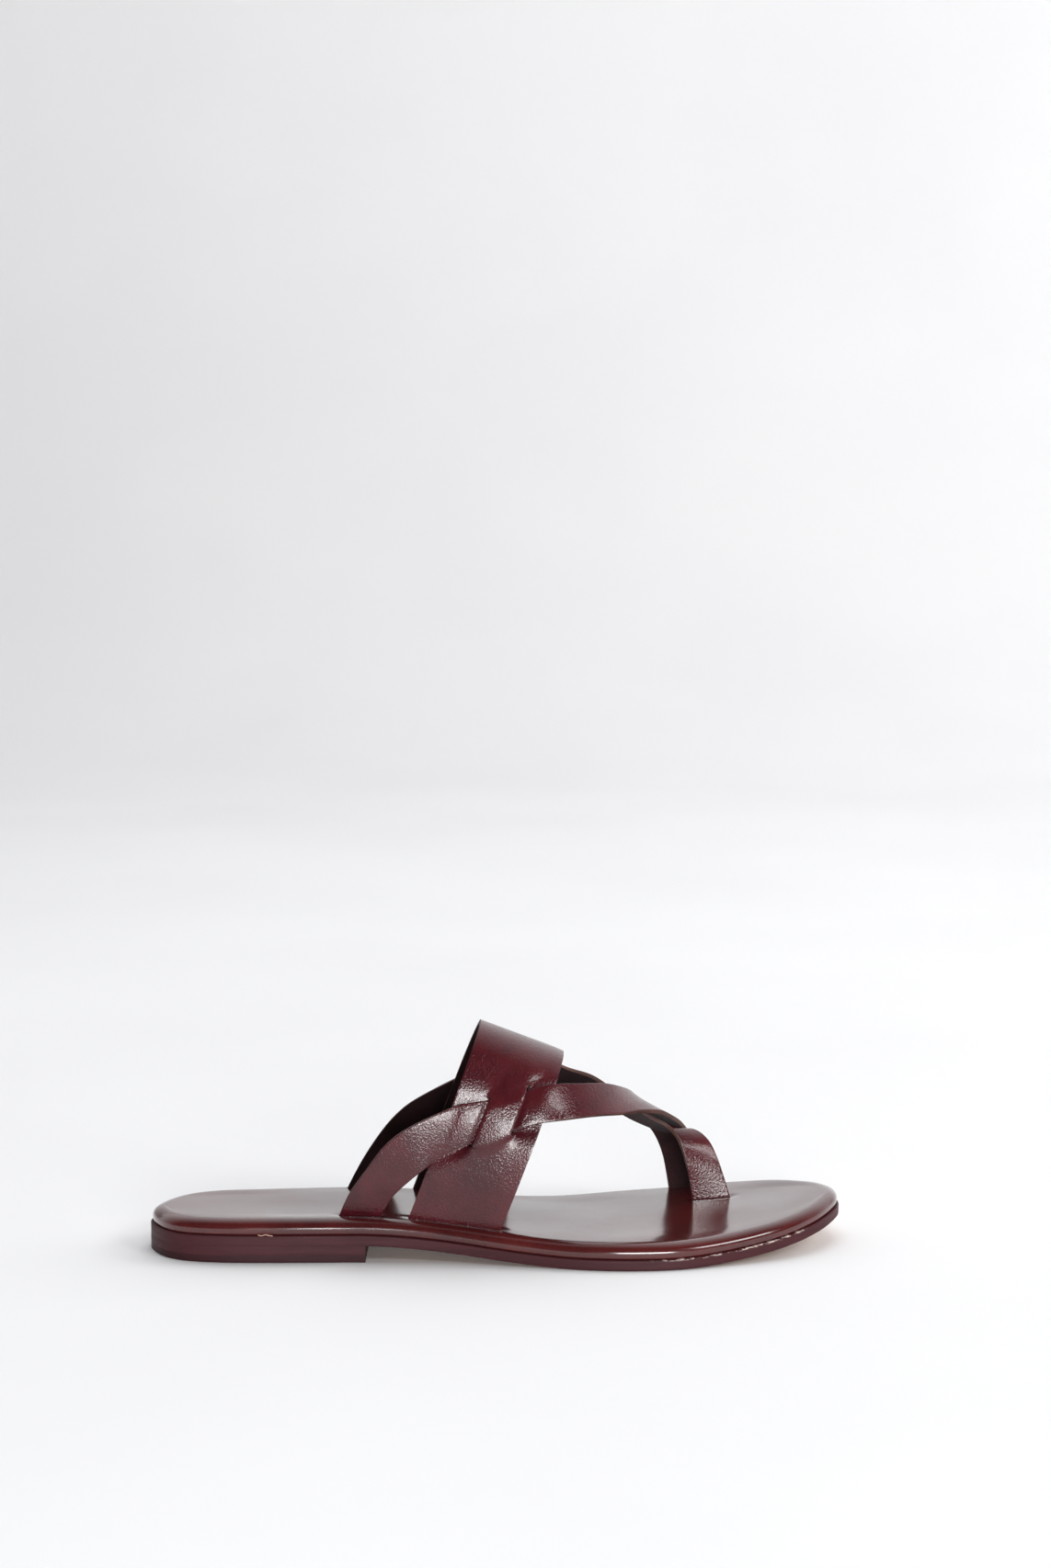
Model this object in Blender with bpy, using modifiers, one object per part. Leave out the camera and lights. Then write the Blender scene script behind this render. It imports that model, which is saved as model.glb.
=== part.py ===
"""Flat leather slide sandal for the right foot, with a woven upper and a loop for the big toe.

The toe points along +X, the inner (medial) side of the foot is +Y and the ground is z = 0.
Points in the lists are (x, y, z) in millimetres, scaled by MM where they are used.
"""
import math

import bmesh
import bpy
import numpy as np
from mathutils import Matrix

MM = 0.001
GAP = 0.3 * MM

# Sole
HEEL_SEAT_RISE = 6.2 * MM
BREAST_X = -48.5 * MM
BREAST_BLOCK = (240 * MM, 140 * MM, 30 * MM)
BREAST_BLOCK_Z = 4.0 * MM
WAIST_START_X = -52.0 * MM
WAIST_END_X = 32.0 * MM
SPRING_START_X = 60.0 * MM
SPRING_END_X = 130.5 * MM
TOE_SPRING = 9.3 * MM
OUTSOLE_THICKNESS = 4.0 * MM
FOOTBED_HEIGHT = 5.4 * MM
COVER_THICKNESS = 1.0 * MM
TOP_PIECE_THICKNESS = 2.8 * MM
SOLE_STATIONS = 34
SHANK_STATIONS = 16
OUTSOLE_CHAMFER = 0.5 * MM

# Layers of the footbed, as heights above the underside of the outsole
FOOTBED_BOTTOM = OUTSOLE_THICKNESS + GAP
FOOTBED_TOP = FOOTBED_BOTTOM + FOOTBED_HEIGHT
TAIL_MIDDLE = FOOTBED_BOTTOM + 0.5 * MM
FLANGE_TOP = FOOTBED_BOTTOM + 1.0 * MM
BOARD_BOTTOM = FLANGE_TOP + GAP
BOARD_TOP = BOARD_BOTTOM + 1.5 * MM
FOAM_BOTTOM = BOARD_TOP + GAP
COVER_UNDERSIDE = FOOTBED_TOP - COVER_THICKNESS
FOAM_TOP = COVER_UNDERSIDE - GAP
CLEARANCE = 0.05 * MM

# Section of the cover and how far each layer stands in from the outline
COVER_WALL = 0.7 * MM
COVER_LIP = 1.3 * MM
COVER_ROLL = 4.8 * MM
COVER_BELLY = 0.42
COVER_LIP_TURN = math.radians(70)
COVER_INNER_WALL = 2.2 * MM
COVER_FLANGE_END = 8.0 * MM
BOARD_INSET = 2.9 * MM
FOAM_INSET = 4.7 * MM
FILLER_INSET = 8.4 * MM

# Upper
BAND_THICKNESS = 1.9 * MM
STRAP_THICKNESS = 1.8 * MM
TAIL_SKIVING = 0.5
BAND_WIDTH = 33.5 * MM
BAND_TILT = math.radians(20.8)
BAND_APEX = np.array([-6.4, -4.7, 84.3]) * MM
BAND_FRONT_FLARE = 0.12
SLIT_WIDTH = 0.8 * MM
REAR_SLIT = 12.1 * MM
FRONT_SLIT = 24.2 * MM
REAR_SLIT_ENDS = (61.2 * MM, 43.4 * MM)
FRONT_SLIT_ENDS = (65.0 * MM, 47.6 * MM)
BAND_LINES = [4.0 * MM, 8.0 * MM]
BRIDGE_LINES = [15.0 * MM, 18.15 * MM, 21.3 * MM]
FRONT_LINE = 27.4 * MM
WEAVE_DEPTH = 2.35 * MM
BRIDGE_SHARE = 0.86
WEAVE_FADE = 7.0 * MM
BAND_HALF_STEPS = 32
STRAP_STEPS = 3
STRAP_WIDTH_STEPS = 3
TAIL_LENGTH = 11.0 * MM
TAIL_TURN = 1.3 * MM
SLOT_REACH = 14.0 * MM
SLOT_LEAST_SHARE = 0.3

# Fasteners
NAIL_SHAFT_RADIUS = 0.9 * MM
NAIL_HEAD_RADIUS = 2.0 * MM
NAIL_HEAD_THICKNESS = 0.6 * MM
NAIL_POINT_Z = 1.6 * MM
NAIL_PLACES = [(-116, -9), (-104, -21), (-104, 2.5), (-70, -21.5), (-70, 6.5)]
RIVET_RADIUS = 1.5 * MM
RIVET_PLACES = [(-78, -7), (-8, -6)]

# Plan of the sole, starting at the back of the heel and going round by the outer side
SOLE_PLAN = [
    (-130.5, -8.7), (-127.1, -21.9), (-118.5, -31.1), (-103.5, -35.1), (-80.5, -35.7), (-50.5, -35.2),
    (-20.5, -36.3), (9.5, -41.3), (34.5, -46.2), (51.5, -47.2), (69.5, -45.0), (89.5, -37.9),
    (107.5, -29.2), (120.5, -18.0), (128.1, -5.7), (130.5, 3.8), (128.9, 14.8), (122.5, 27.3),
    (109.5, 40.3), (91.5, 47.0), (74.5, 46.6), (51.5, 41.3), (24.5, 32.3), (-0.5, 25.9),
    (-30.5, 22.2), (-60.5, 20.9), (-88.5, 18.2), (-109.5, 15.3), (-123.0, 6.8),
]
SHANK_PLAN = [(-92, -8), (-88, -12), (-45, -12), (2, -11), (6, -7), (2, -2.5), (-45, -2.5), (-88, -3)]

# Half of the arch of the band: distance from its middle and drop below its crown
BAND_ARCH = [
    (0, 0), (8, 1.3), (15, 6), (20, 13.5), (23.3, 22), (25.2, 33), (25.4, 48), (24, 62), (22.3, 74), (21, 82),
]

# Ribs of the straps, from the tail behind the band to the tail in the toe loop.
# Each rib is the pair of points where it meets the strap's two edges.
LATERAL_REAR_RIBS = [
    ((-59.2, -25.7, 13.4), (-43.6, -26.3, 13.2)), ((-58.4, -26.0, 16.3), (-42.9, -26.7, 15.9)),
    ((-54.7, -28.0, 24.5), (-39.0, -28.8, 22.9)), ((-49.0, -29.9, 33.0), (-35.6, -30.3, 26.8)),
    ((-41.1, -31.3, 43.5), (-31.3, -31.4, 30.8)), ((-31.8, -32.0, 50.6), (-27.3, -31.8, 34.1)),
]
LATERAL_FRONT_RIBS = [
    ((31.2, -18.7, 63.9), (27.3, -29.2, 52.8)), ((40.0, -9.7, 62.0), (38.1, -21.7, 52.4)),
    ((46.0, -1.0, 58.9), (47.2, -13.3, 51.2)), ((50.4, 9.0, 55.0), (55.0, -4.5, 50.2)),
    ((52.5, 19.0, 50.6), (62.0, 4.5, 48.0)), ((53.3, 28.0, 45.6), (67.0, 15.5, 43.6)),
    ((55.0, 35.2, 39.8), (71.6, 28.0, 38.0)), ((60.0, 39.6, 34.2), (75.8, 36.6, 31.0)),
    ((63.4, 41.6, 27.3), (79.0, 39.8, 24.6)), ((65.5, 41.8, 20.0), (81.2, 40.9, 17.8)),
    ((67.2, 40.0, 10.3), (82.6, 40.9, 11.4)), ((67.6, 39.6, 7.4), (83.0, 40.5, 8.2)),
]
MEDIAL_REAR_RIBS = [
    ((-58.5, 15.3, 13.4), (-43.0, 15.8, 13.2)), ((-57.7, 15.6, 16.3), (-42.2, 16.2, 15.9)),
    ((-52.4, 18.6, 26.0), (-38.0, 18.9, 23.0)), ((-45.5, 20.6, 36.2), (-34.9, 20.4, 26.9)),
    ((-38.8, 21.8, 43.8), (-30.8, 21.5, 30.8)), ((-31.0, 22.4, 49.6), (-27.0, 22.0, 34.1)),
]
MEDIAL_FRONT_RIBS = [
    ((28.0, 19.0, 61.6), (24.0, 27.2, 50.2)), ((36.5, 19.4, 58.6), (34.0, 30.4, 48.6)),
    ((44.5, 20.2, 53.0), (43.5, 31.8, 44.4)), ((52.5, 21.4, 46.6), (53.0, 31.2, 39.4)),
    ((59.5, 22.4, 41.9), (61.5, 30.4, 36.0)), ((65.0, 22.6, 39.0), (69.0, 29.2, 34.9)),
    ((69.0, 21.4, 35.0), (76.4, 29.4, 35.0)), ((71.3, 20.2, 30.0), (81.6, 26.0, 32.0)),
    ((72.8, 20.0, 24.6), (85.0, 23.6, 26.0)), ((74.2, 20.4, 18.6), (87.3, 22.2, 19.8)),
    ((75.4, 21.0, 10.4), (89.9, 21.8, 11.7)), ((75.8, 21.0, 7.4), (90.4, 21.8, 8.2)),
]
# Where a strap crosses the band: place along the band's width, height proud of it, upper and lower edge
WEAVE_RIBS = [
    (1.0 * MM, 1.0 * MM, 57.8, 37.6), (5.2 * MM, 1.0 * MM, 58.8, 41.0), (9.4 * MM, 0.75 * MM, 59.5, 43.4),
    (REAR_SLIT, 0.0, 60.0, 44.7),
    (0.5 * (REAR_SLIT + FRONT_SLIT), -0.5 * MM, 61.6, 46.7), (FRONT_SLIT, -0.1 * MM, 62.7, 48.9),
    (27.0 * MM, 0.6 * MM, 63.6, 50.0), (33.0 * MM, 0.2 * MM, 64.5, 51.6),
]


def clear_scene():
    """Remove whatever the scene holds."""
    for obj in list(bpy.data.objects):
        bpy.data.objects.remove(obj, do_unlink=True)


def new_collection(name):
    """Make a collection under the scene's own."""
    collection = bpy.data.collections.new(name)
    bpy.context.scene.collection.children.link(collection)
    return collection


def new_material(name, colour, roughness, metallic=0.0):
    """Make a Principled material of one colour."""
    material = bpy.data.materials.new(name)
    material.use_nodes = True
    shader = material.node_tree.nodes["Principled BSDF"]
    shader.inputs["Base Color"].default_value = (*colour, 1.0)
    shader.inputs["Roughness"].default_value = roughness
    shader.inputs["Metallic"].default_value = metallic
    return material


def new_object(name, points, faces, collection, material=None):
    """Make a mesh object with its faces pointing outwards."""
    mesh = bpy.data.meshes.new(name)
    mesh.from_pydata([tuple(point) for point in points], [], faces)
    shape = bmesh.new()
    shape.from_mesh(mesh)
    bmesh.ops.recalc_face_normals(shape, faces=shape.faces)
    shape.to_mesh(mesh)
    shape.free()
    mesh.shade_smooth()
    mesh.set_sharp_from_angle(angle=math.radians(40))
    obj = bpy.data.objects.new(name, mesh)
    collection.objects.link(obj)
    if material:
        mesh.materials.append(material)
    return obj


def cubic(before, start, end, after, t):
    """Catmull-Rom curve between start and end."""
    return 0.5 * (
        2 * start + (end - before) * t + (2 * before - 5 * start + 4 * end - after) * t ** 2
        + (3 * start - before - 3 * end + after) * t ** 3
    )


def smooth_open(points, steps):
    """Curve through the points, with this many steps between each two."""
    points = np.asarray(points, float)
    padded = np.vstack([2 * points[0] - points[1], points, 2 * points[-1] - points[-2]])
    curve = [cubic(*padded[i:i + 4], k / steps) for i in range(len(points) - 1) for k in range(steps)]
    return np.array(curve + [points[-1]])


def smooth_closed(points, steps):
    """Closed curve through the points, with this many steps between each two."""
    points = np.asarray(points, float)
    padded = np.vstack([points[-1], points, points[:2]])
    return np.array([cubic(*padded[i:i + 4], k / steps) for i in range(len(points)) for k in range(steps)])


def smoothstep(t):
    """Rise from 0 to 1 with flat ends."""
    t = np.clip(t, 0.0, 1.0)
    return t * t * (3 - 2 * t)


def underside(x):
    """Height of the outsole's underside: heel seat, waist, flat ball and toe spring."""
    waist = smoothstep((x - WAIST_START_X) / (WAIST_END_X - WAIST_START_X))
    spring = np.clip((x - SPRING_START_X) / (SPRING_END_X - SPRING_START_X), 0.0, 1.2)
    return HEEL_SEAT_RISE * (1 - waist) + TOE_SPRING * spring ** 2


def ground(x):
    """Level surface under the heel."""
    return np.zeros_like(x)


def plan_pairs(plan, stations):
    """Outline with its points paired across: one end, one side, the other end, the other side."""
    dense = smooth_closed(np.array(plan) * MM, 24)
    dense = np.roll(dense, -int(np.argmin(dense[:, 0])), axis=0)
    tip = int(np.argmax(dense[:, 0]))
    first = dense[:tip + 1]
    second = np.vstack([dense[tip:], dense[:1]])[::-1]
    angles = np.linspace(0.0, math.pi, stations + 1)
    x = dense[0, 0] + (dense[tip, 0] - dense[0, 0]) * 0.5 * (1 - np.cos(angles))
    side_a = np.stack([x, np.interp(x, first[:, 0], first[:, 1])], 1)
    side_b = np.stack([x, np.interp(x, second[:, 0], second[:, 1])], 1)
    return np.vstack([side_a, side_b[1:-1][::-1]])


def inset(outline, distance):
    """Outline moved inwards along its normals."""
    tangent = np.roll(outline, -1, axis=0) - np.roll(outline, 1, axis=0)
    tangent /= np.linalg.norm(tangent, axis=1)[:, None]
    return outline - distance * np.stack([tangent[:, 1], -tangent[:, 0]], 1)


def cap_faces(offset, count, flip):
    """Strips across a ring of paired points."""
    half = count // 2
    faces = [(offset, offset + 1, offset + count - 1)]
    for i in range(1, half - 1):
        faces.append((offset + i, offset + i + 1, offset + count - i - 1, offset + count - i))
    faces.append((offset + half - 1, offset + half, offset + half + 1))
    return [face[::-1] for face in faces] if flip else faces


def layer(name, outline, rings, base, collection, material=None):
    """Closed body from rings of (inset, height above base), capped at its first and last ring."""
    points = []
    for distance, height in rings:
        ring = inset(outline, distance)
        points.append(np.column_stack([ring, base(ring[:, 0]) + height]))
    count = len(outline)
    faces = cap_faces(0, count, True)
    for r in range(len(rings) - 1):
        for i in range(count):
            j = (i + 1) % count
            faces.append((r * count + i, r * count + j, (r + 1) * count + j, (r + 1) * count + i))
    faces += cap_faces((len(rings) - 1) * count, count, False)
    return new_object(name, np.vstack(points), faces, collection, material)


def slab_rings(edge, bottom, top, chamfer):
    """Rings of a flat layer whose edge has small chamfers."""
    return [(edge + chamfer, bottom), (edge, bottom + chamfer), (edge, top - chamfer), (edge + chamfer, top)]


def cylinder(name, radius, bottom, top, place, collection, material=None, sides=16):
    """Upright cylinder."""
    bpy.ops.mesh.primitive_cylinder_add(
        vertices=sides, radius=radius, depth=top - bottom,
        location=(place[0] * MM, place[1] * MM, 0.5 * (bottom + top)))
    obj = bpy.context.object
    obj.name = name
    move_to(obj, collection)
    if material:
        obj.data.materials.append(material)
    return obj


def move_to(obj, collection):
    """Keep an object in one collection only."""
    for other in list(obj.users_collection):
        other.objects.unlink(obj)
    collection.objects.link(obj)


def as_cutter(obj):
    """Show an object as a cutter only."""
    obj.hide_render = True
    obj.display_type = "WIRE"
    return obj


def boolean(obj, cutter, operation="DIFFERENCE"):
    """Cut an object, or join another to it."""
    modifier = obj.modifiers.new(cutter.name, "BOOLEAN")
    modifier.operation = operation
    modifier.solver = "EXACT"
    modifier.object = cutter


def arch_curve():
    """Both halves of the arch as (length from the crown, distance from the middle, drop)."""
    half = smooth_open(np.array(BAND_ARCH) * MM, 16)
    half[:, 1] = np.maximum(half[:, 1], 0.0)
    length = np.concatenate([[0], np.cumsum(np.linalg.norm(np.diff(half, axis=0), axis=1))])
    return length, half[:, 0], half[:, 1]


def band_crown(place):
    """Highest point of the band at this distance from its rear edge."""
    return BAND_APEX + place * np.array([math.cos(BAND_TILT), 0, -math.sin(BAND_TILT)])


def band_point(place, z, side, proud):
    """Point at this distance from the band's rear edge, this height, and this far proud of its middle."""
    _, arch_reach, arch_drop = arch_curve()
    crown = band_crown(place)
    drop = (crown[2] - z) / math.cos(BAND_TILT)
    reach = np.interp(drop, arch_drop, arch_reach) * (1 + BAND_FRONT_FLARE * place / BAND_WIDTH)
    rise = np.interp(drop + MM, arch_drop, arch_reach) - np.interp(drop - MM, arch_drop, arch_reach)
    lean = math.atan(rise / (2 * MM))
    return np.array([
        crown[0] - drop * math.sin(BAND_TILT), crown[1] + side * (reach + proud * math.cos(lean)),
        z + proud * math.sin(lean)])


def tail_points(entry, side, grow=0.0, steps=3):
    """Turn of a strap under the board, inwards from its slot."""
    level = underside(entry[0]) + TAIL_MIDDLE
    points = []
    for k in range(steps + 1):
        angle = 0.5 * math.pi * k / steps
        inward = TAIL_TURN * (1 - math.cos(angle))
        points.append((entry[0], entry[1] - side * inward, level + TAIL_TURN * (1 - math.sin(angle))))
    points.append((entry[0], entry[1] - side * (TAIL_LENGTH + grow), level))
    return points


def band_column(place, grow):
    """One line along the band, from its inner tail over the foot to its outer tail."""
    crown = band_crown(place)
    down = np.array([-math.sin(BAND_TILT), 0, -math.cos(BAND_TILT)])
    flare = 1 + BAND_FRONT_FLARE * place / BAND_WIDTH
    length, reach, drop = arch_curve()
    x = crown[0] + drop * down[0]
    z = crown[2] + drop * down[2]
    bend_level = underside(x) + TAIL_MIDDLE + TAIL_TURN + GAP
    end = np.interp(0.0, bend_level - z, length)
    samples = np.linspace(0.0, end, BAND_HALF_STEPS + 1)
    halves = []
    for side in (1, -1):
        leg = [crown + np.interp(s, length, drop) * down
               + np.array([0, side * np.interp(s, length, reach) * flare, 0]) for s in samples]
        halves.append(leg + [np.array(p) for p in tail_points(leg[-1], side, grow)])
    return halves[0][::-1] + halves[1][1:]


def weave_amount(across, along, slit_middle, slit_half):
    """Displacement of the band: margins go in and the bridge comes out between the slits' ends."""
    fade = 1 - smoothstep((np.abs(along - slit_middle) - slit_half) / WEAVE_FADE)
    if REAR_SLIT < across < FRONT_SLIT:
        bridge = math.sin(math.pi * (across - REAR_SLIT) / (FRONT_SLIT - REAR_SLIT))
        return WEAVE_DEPTH * (BRIDGE_SHARE + (1 - BRIDGE_SHARE) * bridge) * fade
    return -WEAVE_DEPTH * fade


def band_mesh(grow=0.0):
    """Middle surface of the band, with its slits left out."""
    half = 0.5 * SLIT_WIDTH
    rear_pair = [REAR_SLIT - half, REAR_SLIT + half]
    front_pair = [FRONT_SLIT - half, FRONT_SLIT + half]
    places = [-grow, *BAND_LINES, *rear_pair, *BRIDGE_LINES, *front_pair, FRONT_LINE, BAND_WIDTH + grow]
    grid = np.array([band_column(place, grow) for place in places])
    normal = surface_normals(grid)
    skipped = set()
    centre = len(grid[0]) // 2
    for legs in (range(0, centre), range(centre, len(grid[0]))):
        for j, place in enumerate(places):
            high, low = slit_span(place)
            for i in legs:
                amount = weave_amount(place, grid[j, i, 2], 0.5 * (high + low), 0.5 * (high - low))
                grid[j, i] += normal[j, i] * amount
        for pair, (high, low) in ((rear_pair, REAR_SLIT_ENDS), (front_pair, FRONT_SLIT_ENDS)):
            j = places.index(pair[0])
            for i in legs[:-1]:
                if low < 0.5 * (grid[j, i, 2] + grid[j, i + 1, 2]) < high:
                    skipped.add((j, i))
    return grid, skipped


def slit_span(place):
    """Upper and lower end of the weave at this line of the band, on the line through both slits' ends."""
    t = (place - REAR_SLIT) / (FRONT_SLIT - REAR_SLIT)
    return tuple((1 - t) * rear + t * front for rear, front in zip(REAR_SLIT_ENDS, FRONT_SLIT_ENDS))


def surface_normals(grid):
    """Outward unit normals of a grid of points."""
    du = np.gradient(grid, axis=0)
    dv = np.gradient(grid, axis=1)
    normal = np.cross(dv, du)
    return normal / np.linalg.norm(normal, axis=2)[:, :, None]


def sheet(name, grid, thickness, skived, collection, material=None, skipped=()):
    """Leather of a real thickness from a grid of points on its middle surface."""
    rows, columns = grid.shape[:2]
    faces = []
    for j in range(rows - 1):
        for i in range(columns - 1):
            if (j, i) not in skipped:
                first = j * columns + i
                faces.append((first, first + columns, first + columns + 1, first + 1))
    mesh = bpy.data.meshes.new(name)
    mesh.from_pydata([tuple(point) for point in grid.reshape(-1, 3)], [], faces)
    mesh.shade_smooth()
    mesh.set_sharp_from_angle(angle=math.radians(40))
    obj = bpy.data.objects.new(name, mesh)
    collection.objects.link(obj)
    if material:
        mesh.materials.append(material)
    group = obj.vertex_groups.new(name="full_thickness")
    for index in range(rows * columns):
        group.add([index], float(skived[index % columns]), "REPLACE")
    solidify = obj.modifiers.new("thickness", "SOLIDIFY")
    solidify.thickness = thickness
    solidify.offset = 0.0
    solidify.use_even_offset = True
    solidify.vertex_group = "full_thickness"
    solidify.thickness_vertex_group = TAIL_SKIVING
    return obj


def skive_weights(heights, x):
    """Weight 1 above the footbed, falling to 0 where the leather is thinned for its tail."""
    depth = heights - underside(x)
    return smoothstep((depth - BOARD_BOTTOM) / (FOOTBED_TOP - BOARD_BOTTOM))


def strap_ribs(rear, front, side):
    """All the ribs of one strap, with the woven stretch that follows the band put in."""
    across = np.linspace(0.0, 1.0, STRAP_WIDTH_STEPS + 1)
    woven = []
    for place, proud, high, low in WEAVE_RIBS:
        woven.append([band_point(place, (high + (low - high) * t) * MM, side, proud) for t in across])
    free = []
    for ribs in (rear, front):
        free.append([np.outer(1 - across, a) * MM + np.outer(across, b) * MM for a, b in ribs])
    return np.array(free[0] + woven + free[1])


def strap_grid(rear, front, side, grow=0.0):
    """Middle surface of one strap. In the toe loop both tails turn away from the sole's inner edge."""
    ribs = strap_ribs(rear, front, side)
    lines = []
    for k in range(STRAP_WIDTH_STEPS + 1):
        line = smooth_open(ribs[:, k], STRAP_STEPS)
        start = tail_points(line[0], side, grow)
        end = tail_points(line[-1], 1, grow)
        lines.append(np.array(start[::-1] + list(line[1:-1]) + end))
    grid = np.array(lines)
    for edge, inner in ((0, 1), (-1, -2)):
        outwards = grid[edge] - grid[inner]
        grid[edge] += grow * outwards / np.linalg.norm(outwards, axis=1)[:, None]
    return grid


def make_sole(parts, cutters, materials):
    """Heel, outsole and footbed layers."""
    outline = plan_pairs(SOLE_PLAN, SOLE_STATIONS)
    breast = make_breast_cutter(cutters)
    lift_bottom = TOP_PIECE_THICKNESS + GAP
    lift_top = HEEL_SEAT_RISE - GAP
    heel_parts = {
        "heel_top_piece": (slab_rings(0.4 * MM, 0.0, TOP_PIECE_THICKNESS, 0.4 * MM), "rubber"),
        "heel_lift": (slab_rings(0.3 * MM, lift_bottom, lift_top, 0.2 * MM), "edge"),
    }
    made = {}
    for name, (rings, finish) in heel_parts.items():
        made[name] = layer(name, outline, rings, ground, parts, materials[finish])
        boolean(made[name], breast)
    rings = slab_rings(0.0, 0.0, OUTSOLE_THICKNESS, OUTSOLE_CHAMFER)
    made["outsole"] = layer("outsole", outline, rings, underside, parts, materials["edge"])
    rings = cover_rings()
    made["footbed_cover"] = layer("footbed_cover", outline, rings, underside, parts, materials["cover"])
    rings = slab_rings(BOARD_INSET, BOARD_BOTTOM, BOARD_TOP, 0.2 * MM)
    made["insole_board"] = layer("insole_board", outline, rings, underside, parts, materials["board"])
    rings = slab_rings(FOAM_INSET, FOAM_BOTTOM, FOAM_TOP, 0.2 * MM)
    made["footbed_foam"] = layer("footbed_foam", outline, rings, underside, parts, materials["foam"])
    rings = slab_rings(FILLER_INSET, FOOTBED_BOTTOM + CLEARANCE, FLANGE_TOP - CLEARANCE, 0.1 * MM)
    made["bottom_filler"] = layer("bottom_filler", outline, rings, underside, parts, materials["board"])
    return made


def cover_rings():
    """Section of the cover: ceiling, inner wall, turned-in flange, rounded edge and top."""
    rings = [
        (COVER_INNER_WALL + 2.0 * MM, COVER_UNDERSIDE),
        (COVER_INNER_WALL + 0.7 * MM, COVER_UNDERSIDE - 0.7 * MM),
        (COVER_INNER_WALL, FLANGE_TOP + 1.2 * MM), (COVER_INNER_WALL, FLANGE_TOP),
        (COVER_FLANGE_END, FLANGE_TOP), (COVER_FLANGE_END, FOOTBED_BOTTOM),
    ]
    middle = FOOTBED_BOTTOM + COVER_BELLY * FOOTBED_HEIGHT
    low_rise = COVER_BELLY * FOOTBED_HEIGHT / math.sin(COVER_LIP_TURN)
    high_rise = (1 - COVER_BELLY) * FOOTBED_HEIGHT
    for angle in np.linspace(-COVER_LIP_TURN, 0.0, 5)[:-1]:
        rings.append((COVER_WALL + COVER_LIP * (1 - math.cos(angle)), middle + low_rise * math.sin(angle)))
    for angle in np.linspace(0.0, 0.5 * math.pi, 7):
        rings.append((COVER_WALL + COVER_ROLL * (1 - math.cos(angle)), middle + high_rise * math.sin(angle)))
    return rings


def make_breast_cutter(cutters):
    """Block in front of the heel breast."""
    bpy.ops.mesh.primitive_cube_add(size=1.0)
    block = bpy.context.object
    block.name = "breast_cutter"
    block.data.transform(Matrix.Diagonal((*BREAST_BLOCK, 1.0)))
    block.location = (BREAST_X + 0.5 * BREAST_BLOCK[0], 0, BREAST_BLOCK_Z)
    move_to(block, cutters)
    return as_cutter(block)


def make_shank(made, parts, cutters, materials):
    """Steel strip in the waist and its two rivets."""
    outline = plan_pairs(SHANK_PLAN, SHANK_STATIONS)
    bottom = FOOTBED_BOTTOM + 0.1 * MM
    top = FLANGE_TOP
    rings = slab_rings(0.0, bottom, top, 0.1 * MM)
    shank = layer("shank", outline, rings, underside, parts, materials["steel"])
    pocket_rings = [(-GAP, bottom - 1 * MM), (-GAP, top + 0.2 * MM)]
    pocket = layer("shank_pocket", outline, pocket_rings, underside, cutters)
    boolean(made["bottom_filler"], as_cutter(pocket))
    for label, place in zip(("rear", "front"), RIVET_PLACES):
        base = float(underside(np.array(place[0] * MM)))
        low, high = base + bottom + CLEARANCE, base + BOARD_TOP - CLEARANCE
        cylinder("shank_rivet_" + label, RIVET_RADIUS, low, high, place, parts, materials["steel"])
        hole = cylinder("rivet_hole_" + label, RIVET_RADIUS + GAP, low - 2 * MM, high + GAP, place, cutters)
        as_cutter(hole)
        for target in (shank, made["insole_board"], made["bottom_filler"]):
            boolean(target, hole)


def make_nails(made, parts, cutters, materials):
    """Five nails down through the outsole into the heel."""
    head_bottom = HEEL_SEAT_RISE + OUTSOLE_THICKNESS + GAP
    head_top = head_bottom + NAIL_HEAD_THICKNESS
    for number, place in enumerate(NAIL_PLACES, 1):
        name = "heel_nail_%d" % number
        shaft_top = head_bottom + 0.5 * NAIL_HEAD_THICKNESS
        nail = cylinder(name, NAIL_SHAFT_RADIUS, NAIL_POINT_Z, shaft_top, place, parts, materials["steel"])
        head = cylinder(name + "_head", NAIL_HEAD_RADIUS, head_bottom, head_top, place, cutters)
        boolean(nail, as_cutter(head), "UNION")
        shaft_room = (NAIL_SHAFT_RADIUS + GAP, NAIL_POINT_Z - GAP, head_bottom + 0.1 * MM)
        shaft_hole = cylinder(name + "_hole", *shaft_room, place, cutters)
        head_room = (NAIL_HEAD_RADIUS + GAP, head_bottom - NAIL_HEAD_THICKNESS, head_top + 0.8 * MM)
        head_hole = cylinder(name + "_seat", *head_room, place, cutters)
        for target in ("heel_top_piece", "heel_lift", "outsole"):
            boolean(made[target], as_cutter(shaft_hole))
        boolean(made["bottom_filler"], as_cutter(head_hole))


def skived_sheet(name, grid, thickness, least, collection, material=None, skipped=()):
    """Sheet that is thinned along the line where it goes down through the footbed."""
    middle = len(grid) // 2
    share = np.maximum(skive_weights(grid[middle, :, 2], grid[middle, :, 0]), least)
    return sheet(name, grid, thickness, share, collection, material, skipped)


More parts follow.
